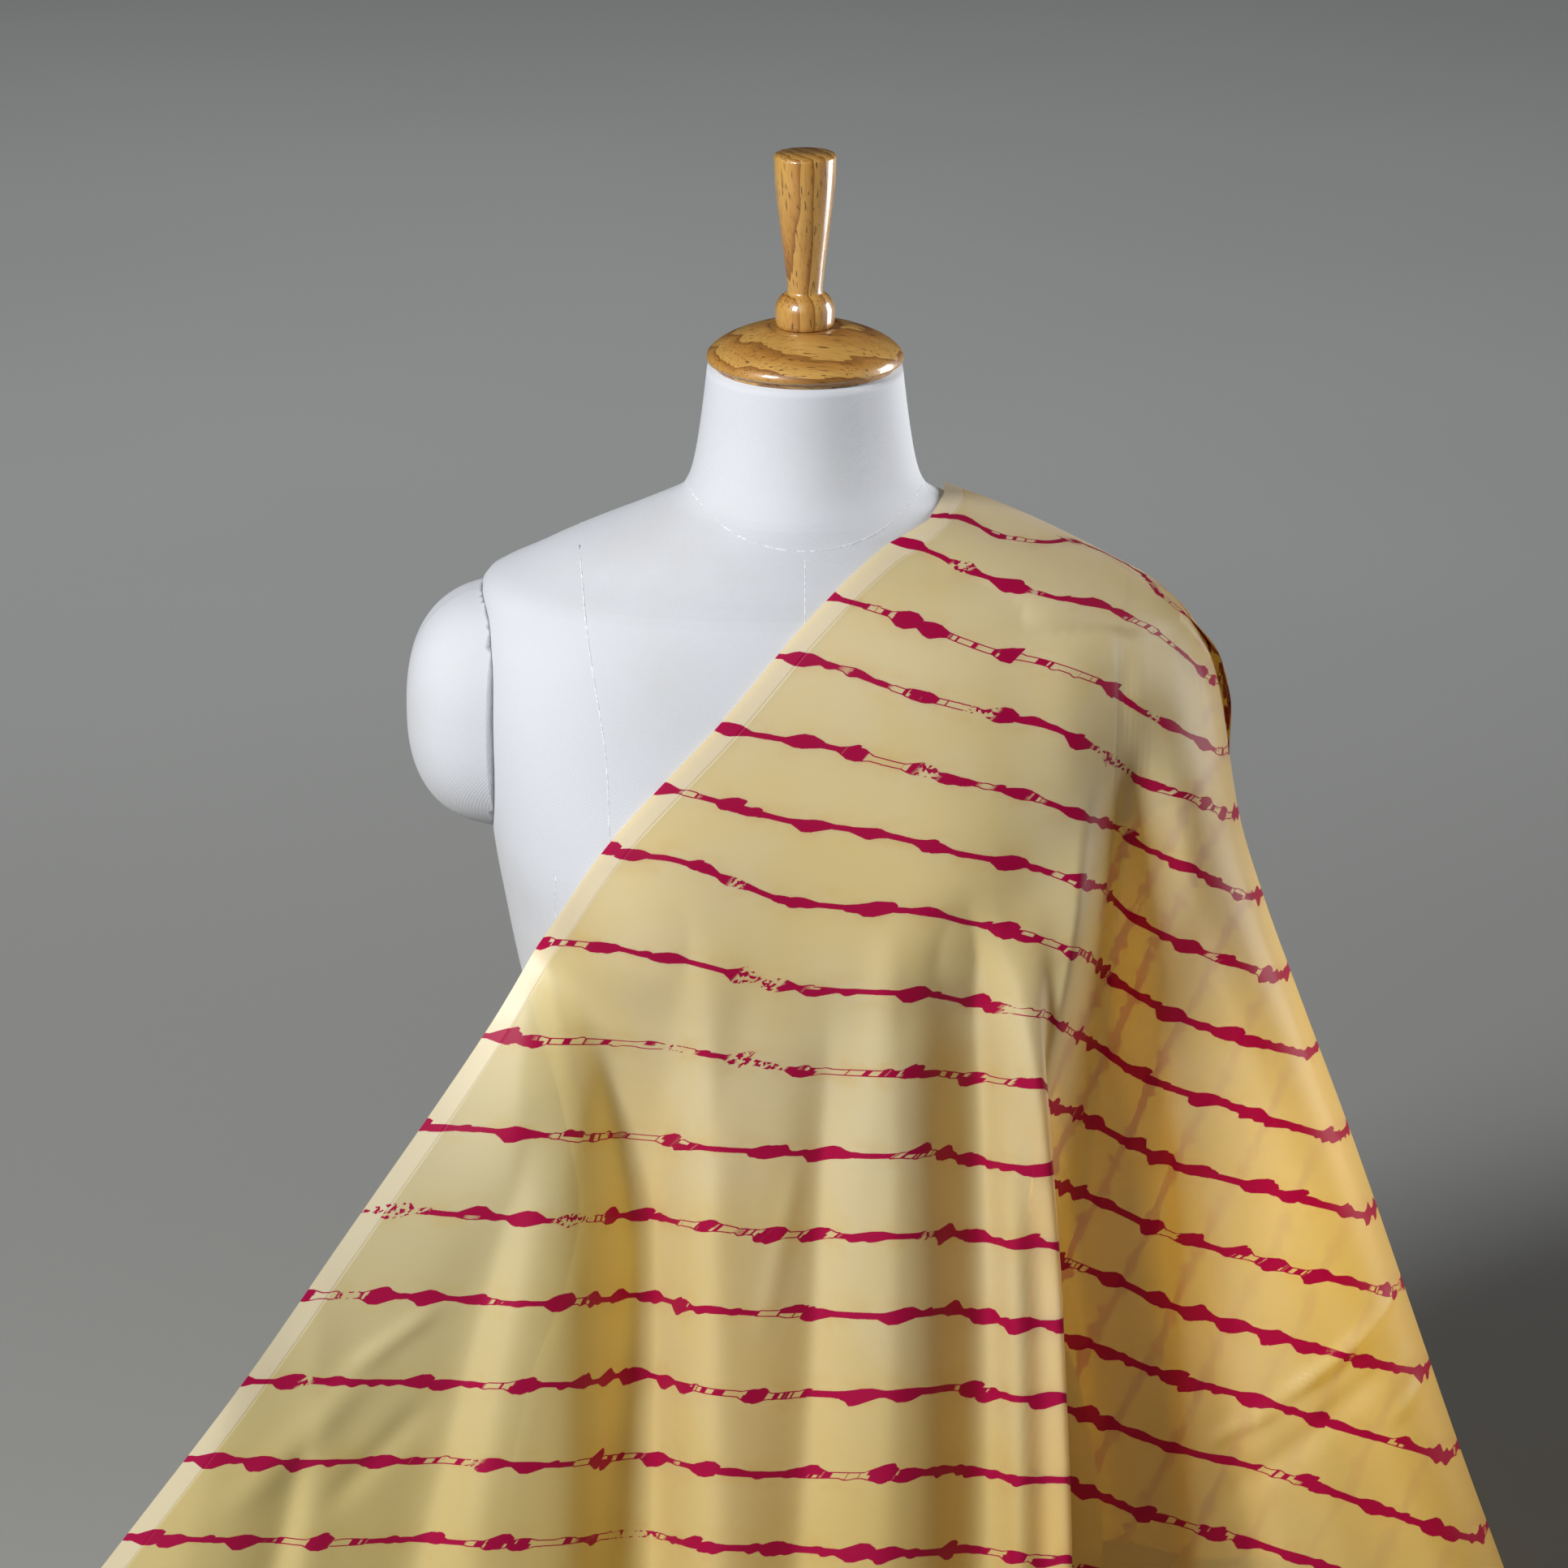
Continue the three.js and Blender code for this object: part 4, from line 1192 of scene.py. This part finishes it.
def silk_finish():
    net = Net("dyed_silk")
    crimson, halo = stripe_of_dye(net)
    where = net.place()
    uneven = net.noise(where, 7.0, 3.0, 0.6)
    yellow = net.pick(net.between(uneven, 0.35, 0.65), colour(246, 237, 196), colour(243, 229, 172))
    sideways, _, height = net.axes(where)
    painted_left_shade, low = net.between(sideways, -0.08, -0.22), net.between(height, 0.35, 0.12)
    # Painted shade: the left part of the cloth is painted greyer and darker.
    yellow = net.pick(painted_left_shade * 0.7, yellow, colour(226, 217, 184))
    # Painted glow: the lower cloth is painted a deeper gold, standing in for light shining through it.
    yellow = net.pick(low * 0.6, yellow, colour(240, 213, 122))
    rusty = net.noise(net.place(stretch=(1, 1, 1.6)), 55.0, 3.0, 0.6)
    yellow = net.pick(halo * net.between(rusty, 0.4, 0.7) * 0.28, yellow, colour(226, 184, 96))
    edge = net.point_value("edge")
    strip = net.between(edge, SILK["edge_strip"] + 0.4 * MM, SILK["edge_strip"] - 0.4 * MM)
    yellow = net.pick(strip * 0.75, yellow, colour(243, 234, 206))
    dye_and_painted_light = net.pick(crimson, yellow, colour(184, 3, 76))
    glow = net.pick(crimson, colour(240, 192, 56), colour(170, 4, 40))
    through = net.pick(crimson, colour(248, 228, 132), colour(200, 60, 60))

    twill = slanting_lines(net, SILK["twill"], SILK["slant"], sideways, height)
    slubs = net.noise(net.place(stretch=(1, 1, 5), turn=(0, 35, 0)), 300.0, 2.0)
    woven = net.raised(twill * 0.5 + slubs, 0.03 * MM, 0.5)
    ridge = net.between(net.sums("ABSOLUTE", edge - SILK["edge_strip"]), 0.9 * MM, 0.0)
    normal = net.raised(ridge * -1.0, 0.25 * MM, 0.6, Normal=woven)

    threads = net.put("BsdfPrincipled", {
        "Base Color": dye_and_painted_light, "Roughness": 0.46, "Normal": normal, "Sheen Roughness": 0.35,
        "Specular IOR Level": crimson * -0.45 + 0.75, "Sheen Weight": crimson * -0.28 + 0.3,
    }).outputs[0]
    lit = net.put("BsdfTranslucent", {"Color": glow, "Normal": normal}).outputs[0]
    body_of_cloth = net.put("MixShader", {0: SILK["glow"], 1: threads, 2: lit}).outputs[0]
    gaps = net.put("BsdfTransparent", {"Color": through}).outputs[0]
    openness = (1.0 - net.sums("MAXIMUM", strip, crimson * 0.45)) * SILK["clear"]
    return net.finish(net.put("MixShader", {0: openness, 1: body_of_cloth, 2: gaps}).outputs[0])


# %% Make the cloth
def leheriya_cloth():
    points, faces, values = cloth_sheet()
    piece = new_piece("leheriya_cloth", points, faces, silk_finish())
    keep_values(piece, **values)
    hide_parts("cloth")
    return piece


cloth = leheriya_cloth()
area = sum(face.area for face in cloth.data.polygons)
print("cloth:", len(cloth.data.polygons), "faces,", round(area, 3), "square metres")

# %% [markdown]
# ## Studio
# The form stands on a grey ground that fills the view, painted darker near the form and lighter further
# back: a painted shade. The key, a large soft light, stands to the left in front, high up, and a weaker one
# nearer the middle fills. A tall narrow strip stands to the right, a little behind, and draws the bright
# line down the turned handle and the rim of the neck. It would burn out the sheer cloth's edge, so the
# cloth has a weaker side light in the same place, and a small one behind its flank that makes it glow. The
# last one is for the ground alone. The sky is a dim even grey that fills the shadows.

# %% Ground
def floor_finish():
    net = Net("grey_ground")
    cloudy = net.noise(net.place(), 0.9, 3.0, 0.5)
    behind = net.axes(net.place())[1]
    # Painted shade: the ground is painted darker near the form and lighter further back.
    tone = net.pick(net.between(behind, 0.2, 2.4), colour(148, 148, 145), colour(170, 172, 171))
    tone = net.pick(net.between(cloudy, 0.3, 0.7) * 0.2, tone, colour(150, 152, 152))
    shader = net.put("BsdfPrincipled", {"Base Color": tone, "Roughness": 0.95, "Specular IOR Level": 0.1})
    return net.finish(shader.outputs[0])


def lay_floor(half=14.0):
    mesh = bpy.data.meshes.new("studio_floor")
    corners = [(-half, -half, 0), (half, -half, 0), (half, half, 0), (-half, half, 0)]
    mesh.from_pydata(corners, [], [(0, 1, 2, 3)])
    floor = bpy.data.objects.new("studio_floor", mesh)
    scene.collection.objects.link(floor)
    mesh.materials.append(floor_finish())
    return floor


ground = lay_floor()

# %% Lights
LIGHTS = table("name lights power at aim wide tall spread", [
    ("key", "all", 113, (-2.15, -2.2, 2.5), (0, 0, 0.5), 0.95, 0.95, 150),
    ("front", "all", 2.4, (-0.6, -3.0, 3.0), (0, 0, 0.5), 1.8, 1.8, 150),
    ("strip", "form", 6.5, (1.27, 0.42, 0.78), (0, 0, 0.76), 0.6, 1.1, 80),
    ("side", "cloth", 3, (1.27, 0.42, 0.78), (0, 0, 0.76), 0.6, 1.1, 80),
    ("back", "cloth", 2.8, (-0.3, 0.44, 0.32), (0.34, 0, 0.34), 0.3, 0.6, 72),
    ("ground", "ground", 28, (-0.3, 2.9, 3.6), (-0.3, 2.9, 0), 2.6, 2.0, 120),
])


def hang_light(row, groups):
    data = bpy.data.lights.new(row["name"], "AREA")
    data.shape = "RECTANGLE"
    data.size, data.size_y = row["wide"], row["tall"]
    data.energy = row["power"]
    data.spread = math.radians(row["spread"])
    light = bpy.data.objects.new(row["name"], data)
    light.location = row["at"]
    direction = Vector(row["aim"]) - Vector(row["at"])
    light.rotation_euler = direction.to_track_quat("-Z", "Y").to_euler()
    scene.collection.objects.link(light)
    if row["lights"] in groups:
        light.light_linking.receiver_collection = groups[row["lights"]]


def light_group(name, pieces):
    """The pieces that a light falls on, where it doesn't fall on all."""
    group = bpy.data.collections.new(name)
    for piece in pieces:
        group.objects.link(piece)
    return group


form = [piece for piece in scene.objects if piece.type == "MESH" and piece not in (ground, cloth)]
groups = {"form": light_group("lit_form", form), "cloth": light_group("lit_cloth", [cloth]),
          "ground": light_group("lit_ground", [ground])}
for row in LIGHTS:
    hang_light(row, groups)

sky = bpy.data.worlds.new("studio_sky")
sky.use_nodes = True
even_grey = sky.node_tree.nodes["Background"].inputs
even_grey["Color"].default_value = (0.94, 0.97, 1.0, 1.0)
even_grey["Strength"].default_value = 0.03
scene.world = sky
scene.view_settings.view_transform = "Standard"
print("lights:", [row["name"] for row in LIGHTS])
